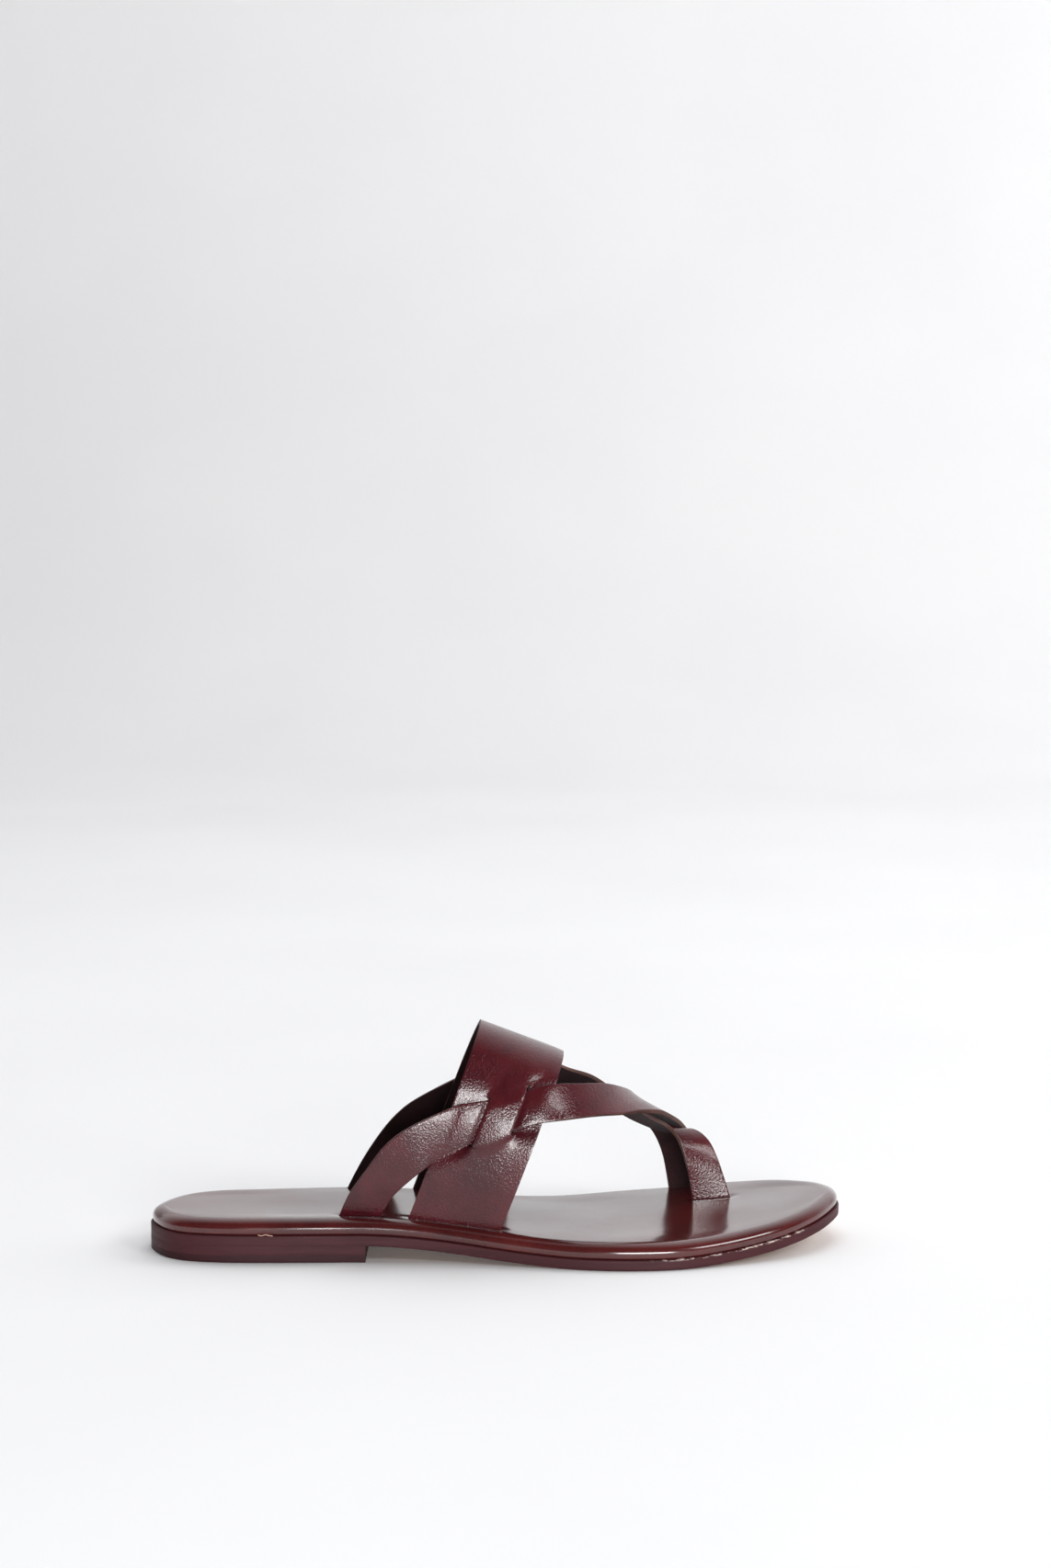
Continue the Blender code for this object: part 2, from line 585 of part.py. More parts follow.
def make_upper(made, parts, cutters, materials):
    """Band and straps, and the slots that they leave in the footbed."""
    grid, skipped = band_mesh()
    skived_sheet("instep_band", grid, BAND_THICKNESS, 0.0, parts, materials["strap"], skipped)
    grown, _ = band_mesh(GAP)
    pieces = [("instep_band_slot", grown, BAND_THICKNESS)]
    straps = {
        "lateral_strap": (LATERAL_REAR_RIBS, LATERAL_FRONT_RIBS, -1),
        "medial_strap": (MEDIAL_REAR_RIBS, MEDIAL_FRONT_RIBS, 1),
    }
    for name, (rear, front, side) in straps.items():
        grid = strap_grid(rear, front, side)
        skived_sheet(name, grid, STRAP_THICKNESS, 0.0, parts, materials["strap"])
        pieces.append((name + "_slot", strap_grid(rear, front, side, GAP), STRAP_THICKNESS))
    for name, grid, thickness in pieces:
        height = grid[0, :, 2] - underside(grid[0, :, 0])
        low = np.flatnonzero(height < SLOT_REACH)
        split = int(np.argmax(np.diff(low))) + 1
        for end, columns in (("a", low[:split]), ("b", low[split:])):
            room = thickness + 2 * GAP
            cutter = skived_sheet(name + "_" + end, grid[:, columns], room, SLOT_LEAST_SHARE, cutters)
            as_cutter(cutter)
            for target in ("footbed_cover", "insole_board", "footbed_foam", "bottom_filler"):
                boolean(made[target], cutter)


def build():
    """Make the whole sandal."""
    clear_scene()
    parts = new_collection("toe_loop_sandal")
    cutters = new_collection("cutters")
    materials = {
        "strap": new_material("strap_leather", (0.107, 0.032, 0.040), 0.35),
        "cover": new_material("cover_leather", (0.147, 0.024, 0.024), 0.30),
        "edge": new_material("painted_edge", (0.080, 0.031, 0.038), 0.55),
        "rubber": new_material("heel_rubber", (0.075, 0.028, 0.034), 0.65),
        "board": new_material("fibre_board", (0.40, 0.27, 0.16), 0.85),
        "foam": new_material("foam", (0.70, 0.66, 0.55), 0.95),
        "steel": new_material("steel", (0.55, 0.55, 0.56), 0.35, 1.0),
    }
    made = make_sole(parts, cutters, materials)
    make_shank(made, parts, cutters, materials)
    make_nails(made, parts, cutters, materials)
    make_upper(made, parts, cutters, materials)


build()
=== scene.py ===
"""Looks of a flat leather slide sandal with a woven upper and a loop for the big toe.

The toe points along +X, the inner side of the foot is +Y and the ground is z = 0. The sole pieces, the band
and the two straps are fine surfaces worked out here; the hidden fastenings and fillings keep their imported
shapes and get their own finishes.
"""
from __future__ import annotations

import logging
import math
from dataclasses import dataclass
from enum import Enum

import bmesh
import bpy
import numpy as np
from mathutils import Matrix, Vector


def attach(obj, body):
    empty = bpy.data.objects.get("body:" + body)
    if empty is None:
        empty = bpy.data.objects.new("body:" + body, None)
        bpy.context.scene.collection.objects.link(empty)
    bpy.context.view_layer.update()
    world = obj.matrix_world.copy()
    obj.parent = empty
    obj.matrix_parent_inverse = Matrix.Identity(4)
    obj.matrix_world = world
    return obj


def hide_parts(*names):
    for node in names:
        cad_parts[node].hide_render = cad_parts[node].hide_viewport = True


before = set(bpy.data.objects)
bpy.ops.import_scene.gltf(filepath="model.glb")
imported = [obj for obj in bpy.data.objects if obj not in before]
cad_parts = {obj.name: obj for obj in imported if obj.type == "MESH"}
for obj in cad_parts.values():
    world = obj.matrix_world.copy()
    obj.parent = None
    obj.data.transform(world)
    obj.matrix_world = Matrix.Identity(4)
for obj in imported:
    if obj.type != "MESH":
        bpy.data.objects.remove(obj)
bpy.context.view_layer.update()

LOG = logging.getLogger("sandal")
MM = 0.001
CREASE = math.radians(38)
Colour = tuple[float, float, float]
Place = tuple[float, float, float]
Material = bpy.types.Material
Object = bpy.types.Object
Socket = bpy.types.NodeSocket


# ---------------------------------------------------------------- curves and surfaces


def smoothstep(t: np.ndarray) -> np.ndarray:
    """Rise from 0 to 1 with flat ends: three times the square less twice the cube.

    Args:
        t: Places along the rise, clipped to 0 and 1.

    Returns:
        The heights at those places.
    """
    t = np.clip(t, 0.0, 1.0)
    return t * t * (3 - 2 * t)


def spline(points: np.ndarray, steps: int, closed: bool = False, mirror_start: bool = False) -> np.ndarray:
    """Catmull-Rom curve: each span is the cubic whose end slopes are half the chord between its neighbours.

    Args:
        points: Points along the first axis, of any shape behind it.
        steps: Samples in each span.
        closed: Whether the last point joins the first.
        mirror_start: Whether the curve starts level, at the middle of a shape with two like halves.

    Returns:
        The curve's points along the first axis.
    """
    points = np.asarray(points, float)
    if closed:
        padded = np.concatenate([points[-1:], points, points[:2]])
    else:
        before = 2 * points[:1] - points[1:2]
        if mirror_start:
            before = points[1:2] * np.array([-1.0, 1.0])
        padded = np.concatenate([before, points, 2 * points[-1:] - points[-2:-1]])
    t = (np.arange(steps) / steps).reshape((1, steps) + (1,) * (points.ndim - 1))
    a, b, c, d = (padded[i:len(padded) - 3 + i, None] for i in range(4))
    bend = 2 * a - 5 * b + 4 * c - d
    twist = 3 * b - a - 3 * c + d
    spans = 0.5 * (2 * b + (c - a) * t + bend * t ** 2 + twist * t ** 3)
    curve = spans.reshape((-1,) + points.shape[1:])
    return curve if closed else np.concatenate([curve, points[-1:]])


def respaced(curve: np.ndarray, count: int) -> np.ndarray:
    """Points at equal distances along a curve.

    Args:
        curve: Points of the curve, one a row.
        count: How many points come back.

    Returns:
        The points, both ends included.
    """
    length = np.concatenate([[0.0], np.cumsum(np.linalg.norm(np.diff(curve, axis=0), axis=1))])
    places = np.linspace(0.0, length[-1], count)
    return np.stack([np.interp(places, length, curve[:, k]) for k in range(curve.shape[1])], 1)


def surface_normals(grid: np.ndarray) -> np.ndarray:
    """Unit normals of a grid of points: the slope along the rows crossed with the slope along the columns.

    Args:
        grid: Points in rows and columns.

    Returns:
        One unit vector for each point.
    """
    normal = np.cross(np.gradient(grid, axis=0), np.gradient(grid, axis=1))
    return normal / np.maximum(np.linalg.norm(normal, axis=2, keepdims=True), 1e-12)


@dataclass
class Patch:
    """A stretch of a surface: a grid of points, the finish that it wears and how rubbed it is, a mask that
    also places painted glints of light.
    """

    grid: np.ndarray
    closed: bool = False
    finish: int = 0
    # Also marks where pale flecks of worn paint and painted glints of light go.
    rub_and_glint: float | np.ndarray = 0.0

    def quads(self, offset: int) -> np.ndarray:
        """Corner numbers of the faces, each from a point to its neighbours in the next row and column.

        Args:
            offset: Number of this patch's first point in its mesh.

        Returns:
            Four corner numbers a row.
        """
        rows, columns = self.grid.shape[:2]
        numbers = offset + np.arange(rows * columns).reshape(rows, columns)
        if self.closed:
            numbers = np.concatenate([numbers, numbers[:, :1]], 1)
        corners = (numbers[:-1, :-1], numbers[:-1, 1:], numbers[1:, 1:], numbers[1:, :-1])
        return np.stack([corner.ravel() for corner in corners], 1)


def closed_piece(name: str, patches: list[Patch], finishes: list[Material]) -> Object:
    """One closed skin from patches that share their borders.

    Args:
        name: The piece's name.
        patches: The stretches of its surface.
        finishes: Materials, in the order of the patches' finish numbers.

    Returns:
        The object, at the origin.
    """
    offsets = np.cumsum([0] + [patch.grid[..., 0].size for patch in patches])
    points = np.concatenate([patch.grid.reshape(-1, 3) for patch in patches])
    quads = [patch.quads(int(offset)) for patch, offset in zip(patches, offsets)]
    worn_and_glints = [np.broadcast_to(patch.rub_and_glint, patch.grid.shape[:2]).ravel() for patch in patches]
    mesh = bpy.data.meshes.new(name)
    mesh.from_pydata(points.tolist(), [], np.concatenate(quads).tolist())
    numbers = np.repeat([patch.finish for patch in patches], [len(part) for part in quads])
    mesh.polygons.foreach_set("material_index", numbers.astype(np.int32))
    attribute = mesh.attributes.new("rub_and_glint", "FLOAT", "POINT")
    attribute.data.foreach_set("value", np.concatenate(worn_and_glints).astype(np.float32))
    shape = bmesh.new()
    shape.from_mesh(mesh)
    bmesh.ops.remove_doubles(shape, verts=shape.verts, dist=1e-6)
    bmesh.ops.recalc_face_normals(shape, faces=shape.faces)
    shape.to_mesh(mesh)
    shape.free()
    return placed(name, mesh, finishes)


def placed(name: str, mesh: bpy.types.Mesh, finishes: list[Material]) -> Object:
    """Put a mesh in the scene with smooth shading and its finishes.

    Args:
        name: The object's name.
        mesh: Its mesh.
        finishes: Its materials.

    Returns:
        The object.
    """
    mesh.shade_smooth()
    mesh.set_sharp_from_angle(angle=CREASE)
    obj = bpy.data.objects.new(name, mesh)
    bpy.context.scene.collection.objects.link(obj)
    for finish in finishes:
        mesh.materials.append(finish)
    return obj


def settle(obj: Object, crease: float) -> None:
    """Make the result of an object's modifiers its own mesh, shaded smooth.

    Args:
        obj: The object.
        crease: Angle between two faces from which their edge stays sharp.
    """
    bpy.context.view_layer.update()
    evaluated = obj.evaluated_get(bpy.context.evaluated_depsgraph_get())
    mesh = bpy.data.meshes.new_from_object(evaluated)
    obj.modifiers.clear()
    obj.data = mesh
    mesh.shade_smooth()
    mesh.set_sharp_from_angle(angle=crease)


# ---------------------------------------------------------------- finishes


class Shading:
    """Writer of the shader nodes of one material, all of them on Object coordinates or a mesh attribute."""

    def __init__(self, name: str) -> None:
        """Start a material with one Principled shader.

        Args:
            name: The material's name.
        """
        self.material = bpy.data.materials.new(name)
        self.material.use_nodes = True
        self.tree = self.material.node_tree
        self.shader = self.tree.nodes["Principled BSDF"]
        self.place = self.tree.nodes.new("ShaderNodeTexCoord").outputs["Object"]

    def feed(self, socket: Socket, value: object) -> None:
        """Link a socket to another, or set it to a value.

        Args:
            socket: The input.
            value: An output socket, a number or a colour.
        """
        if isinstance(value, Socket):
            self.tree.links.new(value, socket)
        elif isinstance(value, tuple) and len(value) == 3 and socket.type == "RGBA":
            socket.default_value = (*value, 1.0)
        else:
            socket.default_value = value

    def stretched(self, scale: Place) -> Socket:
        """Object coordinates multiplied by a scale on each axis.

        Args:
            scale: The three scales.

        Returns:
            The coordinates.
        """
        node = self.tree.nodes.new("ShaderNodeMapping")
        self.feed(node.inputs["Vector"], self.place)
        node.inputs["Scale"].default_value = scale
        return node.outputs[0]

    def noise(self, scale: float, detail: float, rough: float, warp: float = 0.0,
              place: Socket | None = None) -> Socket:
        """Cloudy noise.

        Args:
            scale: Waves a metre.
            detail: Layers of finer waves.
            rough: Strength of the finer layers.
            warp: How far the waves are bent.
            place: Coordinates, if not the plain ones.

        Returns:
            The noise from 0 to 1.
        """
        node = self.tree.nodes.new("ShaderNodeTexNoise")
        self.feed(node.inputs["Vector"], place or self.place)
        node.inputs["Scale"].default_value = scale
        node.inputs["Detail"].default_value = detail
        node.inputs["Roughness"].default_value = rough
        node.inputs["Distortion"].default_value = warp
        return node.outputs[0]

    def cells(self, scale: float) -> Socket:
        """Distance to the nearest of many scattered points.

        Args:
            scale: Cells a metre.

        Returns:
            The distance, about 0 to 1.
        """
        node = self.tree.nodes.new("ShaderNodeTexVoronoi")
        self.feed(node.inputs["Vector"], self.place)
        node.inputs["Scale"].default_value = scale
        return node.outputs["Distance"]

    def axis(self, name: str) -> Socket:
        """One of the Object coordinates.

        Args:
            name: X, Y or Z.

        Returns:
            The coordinate.
        """
        node = self.tree.nodes.new("ShaderNodeSeparateXYZ")
        self.feed(node.inputs[0], self.place)
        return node.outputs[name]

    def attribute(self, name: str) -> Socket:
        """A number kept on the mesh's points.

        Args:
            name: The attribute's name.

        Returns:
            The number.
        """
        node = self.tree.nodes.new("ShaderNodeAttribute")
        node.attribute_name = name
        return node.outputs["Fac"]

    def span(self, value: Socket, low: float, high: float,
             start: float = 0.0, end: float = 1.0) -> Socket:
        """Straight change from start to end as a value goes from low to high, clamped at both.

        Args:
            value: What is measured.
            low: Where the change starts.
            high: Where it ends.
            start: The result at low.
            end: The result at high.

        Returns:
            The result.
        """
        node = self.tree.nodes.new("ShaderNodeMapRange")
        for socket, given in zip(node.inputs, (value, low, high, start, end)):
            self.feed(socket, given)
        return node.outputs[0]

    def maths(self, operation: str, first: object, second: object) -> Socket:
        """One sum on two values.

        Args:
            operation: The node's name for the sum.
            first: A socket or a number.
            second: A socket or a number.

        Returns:
            The result.
        """
        node = self.tree.nodes.new("ShaderNodeMath")
        node.operation = operation
        self.feed(node.inputs[0], first)
        self.feed(node.inputs[1], second)
        return node.outputs[0]

    def mixed(self, amount: object, first: object, second: object) -> Socket:
        """Colour between two others.

        Args:
            amount: Share of the second.
            first: A colour or a socket.
            second: A colour or a socket.

        Returns:
            The colour.
        """
        node = self.tree.nodes.new("ShaderNodeMix")
        node.data_type = "RGBA"
        self.feed(node.inputs[0], amount)
        self.feed(node.inputs[6], first)
        self.feed(node.inputs[7], second)
        return node.outputs[2]

    def relief(self, height: Socket, depth: float, over: Socket | None = None) -> Socket:
        """Normal of a finely uneven surface.

        Args:
            height: Height from 0 to 1.
            depth: What a height of 1 measures, in metres.
            over: A normal that this one adds to.

        Returns:
            The normal.
        """
        node = self.tree.nodes.new("ShaderNodeBump")
        node.inputs["Distance"].default_value = depth
        self.feed(node.inputs["Height"], height)
        if over:
            self.feed(node.inputs["Normal"], over)
        return node.outputs[0]

    def finish(self, **sockets: object) -> Material:
        """Set the shader's own sockets.

        Args:
            sockets: A value or a socket for each, under its name with underscores.

        Returns:
            The material.
        """
        for name, value in sockets.items():
            self.feed(self.shader.inputs[name.replace("_", " ")], value)
        return self.material


@dataclass(frozen=True)
class PolishedLeather:
    """Dyed and waxed grain leather: clouds of deeper dye, rubbed warm areas, pores and fine creases."""

    name: str
    dye: Colour
    deep: Colour
    rubbed: Colour
    polished: float
    dull: float
    pores: float
    swell: float
    wax: float
    shine: float
    wax_roughness: float = 0.13

    def make(self) -> Material:
        """Build the material.

        Returns:
            The material.
        """
        ink = Shading(self.name)
        clouds = ink.noise(70, 5, 0.62, 0.3)
        patina = ink.noise(22, 3, 0.5)
        mottle = ink.noise(900, 3, 0.65)
        grain = ink.noise(1250, 3, 0.6)
        pores = ink.cells(1300)
        tone = ink.mixed(ink.span(clouds, 0.38, 0.66), self.deep, self.dye)
        tone = ink.mixed(ink.span(patina, 0.45, 0.75, 0.0, 0.75), tone, self.rubbed)
        tone = ink.mixed(ink.span(mottle, 0.35, 0.7, 0.0, 0.45), tone, self.deep)
        tone = ink.mixed(ink.span(pores, 0.0, 0.6, 0.3, 0.0), tone, self.deep)
        gloss = ink.span(ink.maths("ADD", clouds, mottle), 0.7, 1.3, self.polished, self.dull)
        fold = ink.relief(ink.noise(95, 2, 0.5), self.swell)
        skin = ink.relief(ink.maths("ADD", grain, ink.span(pores, 0.0, 0.8, 0.0, 0.5)), self.pores, fold)
        return ink.finish(Base_Color=tone, Roughness=gloss, Normal=skin, Coat_Weight=self.wax,
                          Coat_Roughness=self.wax_roughness, Specular_IOR_Level=self.shine)


@dataclass(frozen=True)
class FleshSide:
    """Suede-like back of the leather: short fibres, darker where the dye soaked in."""

    name: str
    pale: Colour
    dark: Colour

    def make(self) -> Material:
        """Build the material.

        Returns:
            The material.
        """
        ink = Shading(self.name)
        soak = ink.noise(60, 4, 0.6, 0.5)
        fibres = ink.noise(1500, 4, 0.7, 1.2)
        tone = ink.mixed(ink.span(soak, 0.35, 0.65), self.dark, self.pale)
        tone = ink.mixed(ink.span(fibres, 0.3, 0.7, 0.6, 0.0), tone, self.dark)
        nap = ink.relief(fibres, 0.12 * MM)
        return ink.finish(Base_Color=tone, Roughness=ink.span(fibres, 0.3, 0.7, 0.95, 0.75), Normal=nap,
                          Sheen_Weight=0.05, Sheen_Roughness=0.5, Specular_IOR_Level=0.2)


@dataclass(frozen=True)
class CutEdge:
    """Bare cut edge of the leather: layers of fibre between the dyed faces, burnished here and there."""

    name: str
    fibre: Colour
    burnt: Colour

    def make(self) -> Material:
        """Build the material.

        Returns:
            The material.
        """
        ink = Shading(self.name)
        burnish = ink.noise(120, 3, 0.6)
        fibres = ink.noise(2600, 3, 0.7, 0.8)
        tone = ink.mixed(ink.span(burnish, 0.4, 0.62), self.burnt, self.fibre)
        tone = ink.mixed(ink.span(fibres, 0.35, 0.6, 0.5, 0.0), tone, self.burnt)
        return ink.finish(Base_Color=tone, Roughness=ink.span(burnish, 0.3, 0.7, 0.5, 0.75),
                          Normal=ink.relief(fibres, 0.06 * MM))


@dataclass(frozen=True)
class EdgePaint:
    """Matt edge paint on a sole: brushed along the edge, thin and cracked where the rim is rubbed, with pale
    flecks on the upper corner of the outer side at the toe that are worn paint and also painted glints of
    light.
    """

    name: str
    paint: Colour
    streak: Colour
    # Pale of bare leather in the worn flecks, which also paints glints of light on the sole's upper corner.
    bare: Colour
    worn_and_glint_from: float = 52.0 * MM
    worn_and_glint_to: float = 118.0 * MM

    def make(self) -> Material:
        """Build the material.

        Returns:
            The material.
        """
        ink = Shading(self.name)
        brushed = ink.noise(260, 4, 0.6, 0.2, ink.stretched((0.12, 0.12, 1.6)))
        specks = ink.noise(1900, 3, 0.7)
        blots = ink.noise(55, 3, 0.55)
        tone = ink.mixed(ink.span(brushed, 0.35, 0.68), self.paint, self.streak)
        tone = ink.mixed(ink.span(blots, 0.42, 0.7, 0.0, 0.6), tone, self.streak)
        # Pale flecks only on the upper corner of the outer side, from the ball to the toe: worn paint, and
        # also painted glints of light along that corner.
        along = ink.axis("X")
        reach = ink.maths("MULTIPLY", ink.span(along, self.worn_and_glint_from, self.worn_and_glint_from + 20 * MM),
                          ink.span(along, self.worn_and_glint_to - 6 * MM, self.worn_and_glint_to, 1.0, 0.0))
        reach = ink.maths("MULTIPLY", reach, ink.span(ink.axis("Y"), -12 * MM, -4 * MM, 1.0, 0.0))
        chips_and_glints = ink.noise(950, 3, 0.65, 0.6, ink.stretched((0.35, 0.35, 1.0)))
        worn_and_glints = ink.maths("MULTIPLY", ink.attribute("rub_and_glint"), ink.span(chips_and_glints, 0.5, 0.56))
        worn_and_glints = ink.maths("MULTIPLY", worn_and_glints, reach)
        tone = ink.mixed(worn_and_glints, tone, self.bare)
        matt = ink.span(ink.maths("ADD", brushed, specks), 0.75, 1.3, 0.42, 0.6)
        lines = ink.relief(brushed, 0.08 * MM)
        skin = ink.relief(specks, 0.03 * MM, lines)
        return ink.finish(Base_Color=tone, Roughness=matt, Normal=skin, Specular_IOR_Level=0.18)


@dataclass(frozen=True)
class SoleLeather:
    """Undyed, lightly scuffed leather of the tread."""

    name: str
    tan: Colour
    stain: Colour

    def make(self) -> Material:
        """Build the material.

        Returns:
            The material.
        """
        ink = Shading(self.name)
        stains = ink.noise(38, 5, 0.6, 0.4)
        scuffs = ink.noise(420, 3, 0.6, 0.3, ink.stretched((0.15, 1.0, 1.0)))
        grain = ink.cells(1100)
        tone = ink.mixed(ink.span(stains, 0.4, 0.7), self.tan, self.stain)
        tone = ink.mixed(ink.span(scuffs, 0.55, 0.7, 0.0, 0.5), tone, self.stain)
        skin = ink.relief(ink.maths("ADD", scuffs, grain), 0.06 * MM)
        return ink.finish(Base_Color=tone, Roughness=ink.span(scuffs, 0.4, 0.7, 0.5, 0.72), Normal=skin)


@dataclass(frozen=True)
class Filling:
    """Hidden board, foam or thread: a matt body with crumbs or fibres."""

    name: str
    body: Colour
    crumb: Colour
    size: float

    def make(self) -> Material:
        """Build the material.

        Returns:
            The material.
        """
        ink = Shading(self.name)
        crumbs = ink.noise(self.size, 4, 0.65, 0.6)
        holes = ink.cells(self.size * 0.8)
        tone = ink.mixed(ink.span(crumbs, 0.4, 0.62), self.body, self.crumb)
        skin = ink.relief(ink.maths("ADD", crumbs, holes), 0.15 * MM)
        return ink.finish(Base_Color=tone, Roughness=ink.span(crumbs, 0.3, 0.7, 0.78, 0.95), Normal=skin)


@dataclass(frozen=True)
class Steel:
    """Rolled steel of the shank, rivets and nails, with a little oxide."""

    name: str
    metal: Colour
    oxide: Colour

    def make(self) -> Material:
        """Build the material.

        Returns:
            The material.
        """
        ink = Shading(self.name)
        rolled = ink.noise(700, 3, 0.6, 0.0, ink.stretched((0.05, 1.0, 1.0)))
        rust = ink.noise(140, 4, 0.65, 0.3)
        tone = ink.mixed(ink.span(rust, 0.56, 0.68), self.metal, self.oxide)
        skin = ink.relief(rolled, 0.03 * MM)
        return ink.finish(Base_Color=tone, Roughness=ink.span(rolled, 0.3, 0.7, 0.28, 0.5), Normal=skin,
                          Metallic=1.0)


@dataclass(frozen=True)
class Paper:
    """Pale seamless paper of the studio."""

    name: str
    white: Colour
    shade: Colour

    def make(self) -> Material:
        """Build the material.

        Returns:
            The material.
        """
        ink = Shading(self.name)
        tone = ink.mixed(ink.span(ink.noise(3, 2, 0.5), 0.4, 0.6), self.white, self.shade)
        return ink.finish(Base_Color=tone, Roughness=0.85, Specular_IOR_Level=0.2)


class Finishes(Enum):
    """Every finish of the sandal and its stage."""

    STRAP = PolishedLeather("strap_grain", (0.080, 0.0088, 0.0130), (0.045, 0.0048, 0.0076),
                            (0.118, 0.015, 0.019), polished=0.15, dull=0.25, pores=0.12 * MM,
                            swell=0.04 * MM, wax=0.2, shine=0.5)
    FOOTBED = PolishedLeather("footbed_grain", (0.080, 0.0098, 0.0094), (0.046, 0.0058, 0.0064),
                              (0.116, 0.016, 0.0145), polished=0.15, dull=0.25, pores=0.01 * MM,
                              swell=0.08 * MM, wax=1.0, shine=0.35)
    FLESH = FleshSide("strap_flesh", (0.036, 0.012, 0.014), (0.014, 0.005, 0.006))
    EDGE = CutEdge("cut_edge", (0.115, 0.050, 0.036), (0.045, 0.016, 0.015))
    # The third colour paints the pale worn flecks, which also stand in for glints of light on the sole's
    # upper corner.
    PAINT = EdgePaint("edge_paint", (0.064, 0.0175, 0.021), (0.046, 0.013, 0.016), (0.62, 0.50, 0.46))
    RUBBER = EdgePaint("heel_rubber_paint", (0.040, 0.0110, 0.0140), (0.030, 0.0085, 0.011), (0.3, 0.2, 0.2))
    TREAD = SoleLeather("tread_leather", (0.50, 0.29, 0.17), (0.28, 0.14, 0.08))
    BOARD = Filling("board_fibre", (0.42, 0.29, 0.17), (0.26, 0.16, 0.09), 900.0)
    FOAM = Filling("foam_cells", (0.74, 0.70, 0.60), (0.55, 0.50, 0.40), 1300.0)
    THREAD = Filling("thread_ply", (0.72, 0.46, 0.36), (0.50, 0.28, 0.20), 4000.0)
    STEEL = Steel("shank_steel", (0.56, 0.56, 0.57), (0.16, 0.07, 0.035))
    PAPER = Paper("studio_paper", (0.86, 0.86, 0.868), (0.84, 0.84, 0.85))

    @property
    def material(self) -> Material:
        """The finish's material, made once."""
        return bpy.data.materials.get(self.value.name) or self.value.make()


# ---------------------------------------------------------------- the sole


@dataclass
class SoleForm:
    """Plan of the sole and the curve of its underside, shared by all the layers."""

    stations: int = 250
    span_steps: int = 60
    columns: int = 24
    seat_rise: float = 6.2 * MM
    waist_start: float = -52.0 * MM
    waist_end: float = 32.0 * MM
    spring_start: float = 60.0 * MM
    spring_end: float = 130.5 * MM
    toe_spring: float = 9.3 * MM
    spring_limit: float = 1.2
    plan: tuple = (
        (-130.5, -8.7), (-127.1, -21.9), (-118.5, -31.1), (-103.5, -35.1), (-80.5, -35.7), (-50.5, -35.2),
        (-20.5, -36.3), (9.5, -41.3), (34.5, -46.2), (51.5, -47.2), (69.5, -45.0), (89.5, -37.9),
        (107.5, -29.2), (120.5, -18.0), (128.1, -5.7), (130.5, 3.8), (128.9, 14.8), (122.5, 27.3),
        (109.5, 40.3), (91.5, 47.0), (74.5, 46.6), (51.5, 41.3), (24.5, 32.3), (-0.5, 25.9),
        (-30.5, 22.2), (-60.5, 20.9), (-88.5, 18.2), (-109.5, 15.3), (-123.0, 6.8),
    )

    def __post_init__(self) -> None:
        """Work out the outline once: outer side from heel to toe, then the inner side back."""
        dense = spline(np.array(self.plan) * MM, self.span_steps, closed=True)
        dense = np.roll(dense, -int(np.argmin(dense[:, 0])), axis=0)
        tip = int(np.argmax(dense[:, 0]))
        outer = respaced(dense[:tip + 1], self.stations + 1)
        inner = respaced(np.vstack([dense[tip:], dense[:1]]), self.stations + 1)
        self.outline = np.vstack([outer, inner[1:-1]])

    def underside(self, x: np.ndarray) -> np.ndarray:
        """Height of the outsole's underside: a smooth step down the waist and a square law up at the toe.

        Args:
            x: Places along the foot.

        Returns:
            The heights above the ground.
        """
        waist = smoothstep((x - self.waist_start) / (self.waist_end - self.waist_start))
        spring = (x - self.spring_start) / (self.spring_end - self.spring_start)
        spring = np.clip(spring, 0.0, self.spring_limit)
        return self.seat_rise * (1 - waist) + self.toe_spring * spring ** 2

    def ring(self, inset: float | np.ndarray, height: float | np.ndarray, level: bool = False) -> np.ndarray:
        """Outline moved inwards along its normals, at a height above the underside.

        Args:
            inset: How far it moves, one number or one for each point.
            height: Height above the underside, or above the ground.
            level: Whether the height is above the ground.

        Returns:
            The ring's points.
        """
        tangent = np.roll(self.outline, -1, axis=0) - np.roll(self.outline, 1, axis=0)
        tangent /= np.linalg.norm(tangent, axis=1)[:, None]
        flat = self.outline - np.reshape(inset, (-1, 1)) * np.stack([tangent[:, 1], -tangent[:, 0]], 1)
        base = 0.0 * flat[:, 0] if level else self.underside(flat[:, 0])
        return np.column_stack([flat, base + height])

    def across(self, ring: np.ndarray, columns: int) -> np.ndarray:
        """Straight lines across a ring, each from a point of the outer side to its mate on the inner side.

        Args:
            ring: The ring's points.
            columns: Points along each line, less one.

        Returns:
            A grid with a line a row.
        """
        outer = ring[:self.stations + 1]
        inner = np.vstack([ring[:1], ring[self.stations:][::-1]])
        share = np.linspace(0.0, 1.0, columns + 1)[None, :, None]
        return outer[:, None] * (1 - share) + inner[:, None] * share

    def slab(self, rings: list[tuple[float, float]], level: bool = False) -> list[Patch]:
        """A closed layer: its rim and plain strips across its first and last ring.

        Args:
            rings: Inset and height of each ring, from the bottom up.
            level: Whether the heights are above the ground.

        Returns:
            The rim, the bottom and the top.
        """
        rim = np.array([self.ring(inset, height, level) for inset, height in rings])
        faces = [Patch(self.across(ring, self.columns)) for ring in (rim[0], rim[-1])]
        return [Patch(rim, closed=True), *faces]


WALL_RINGS = (0.35, 0.6, 0.78)


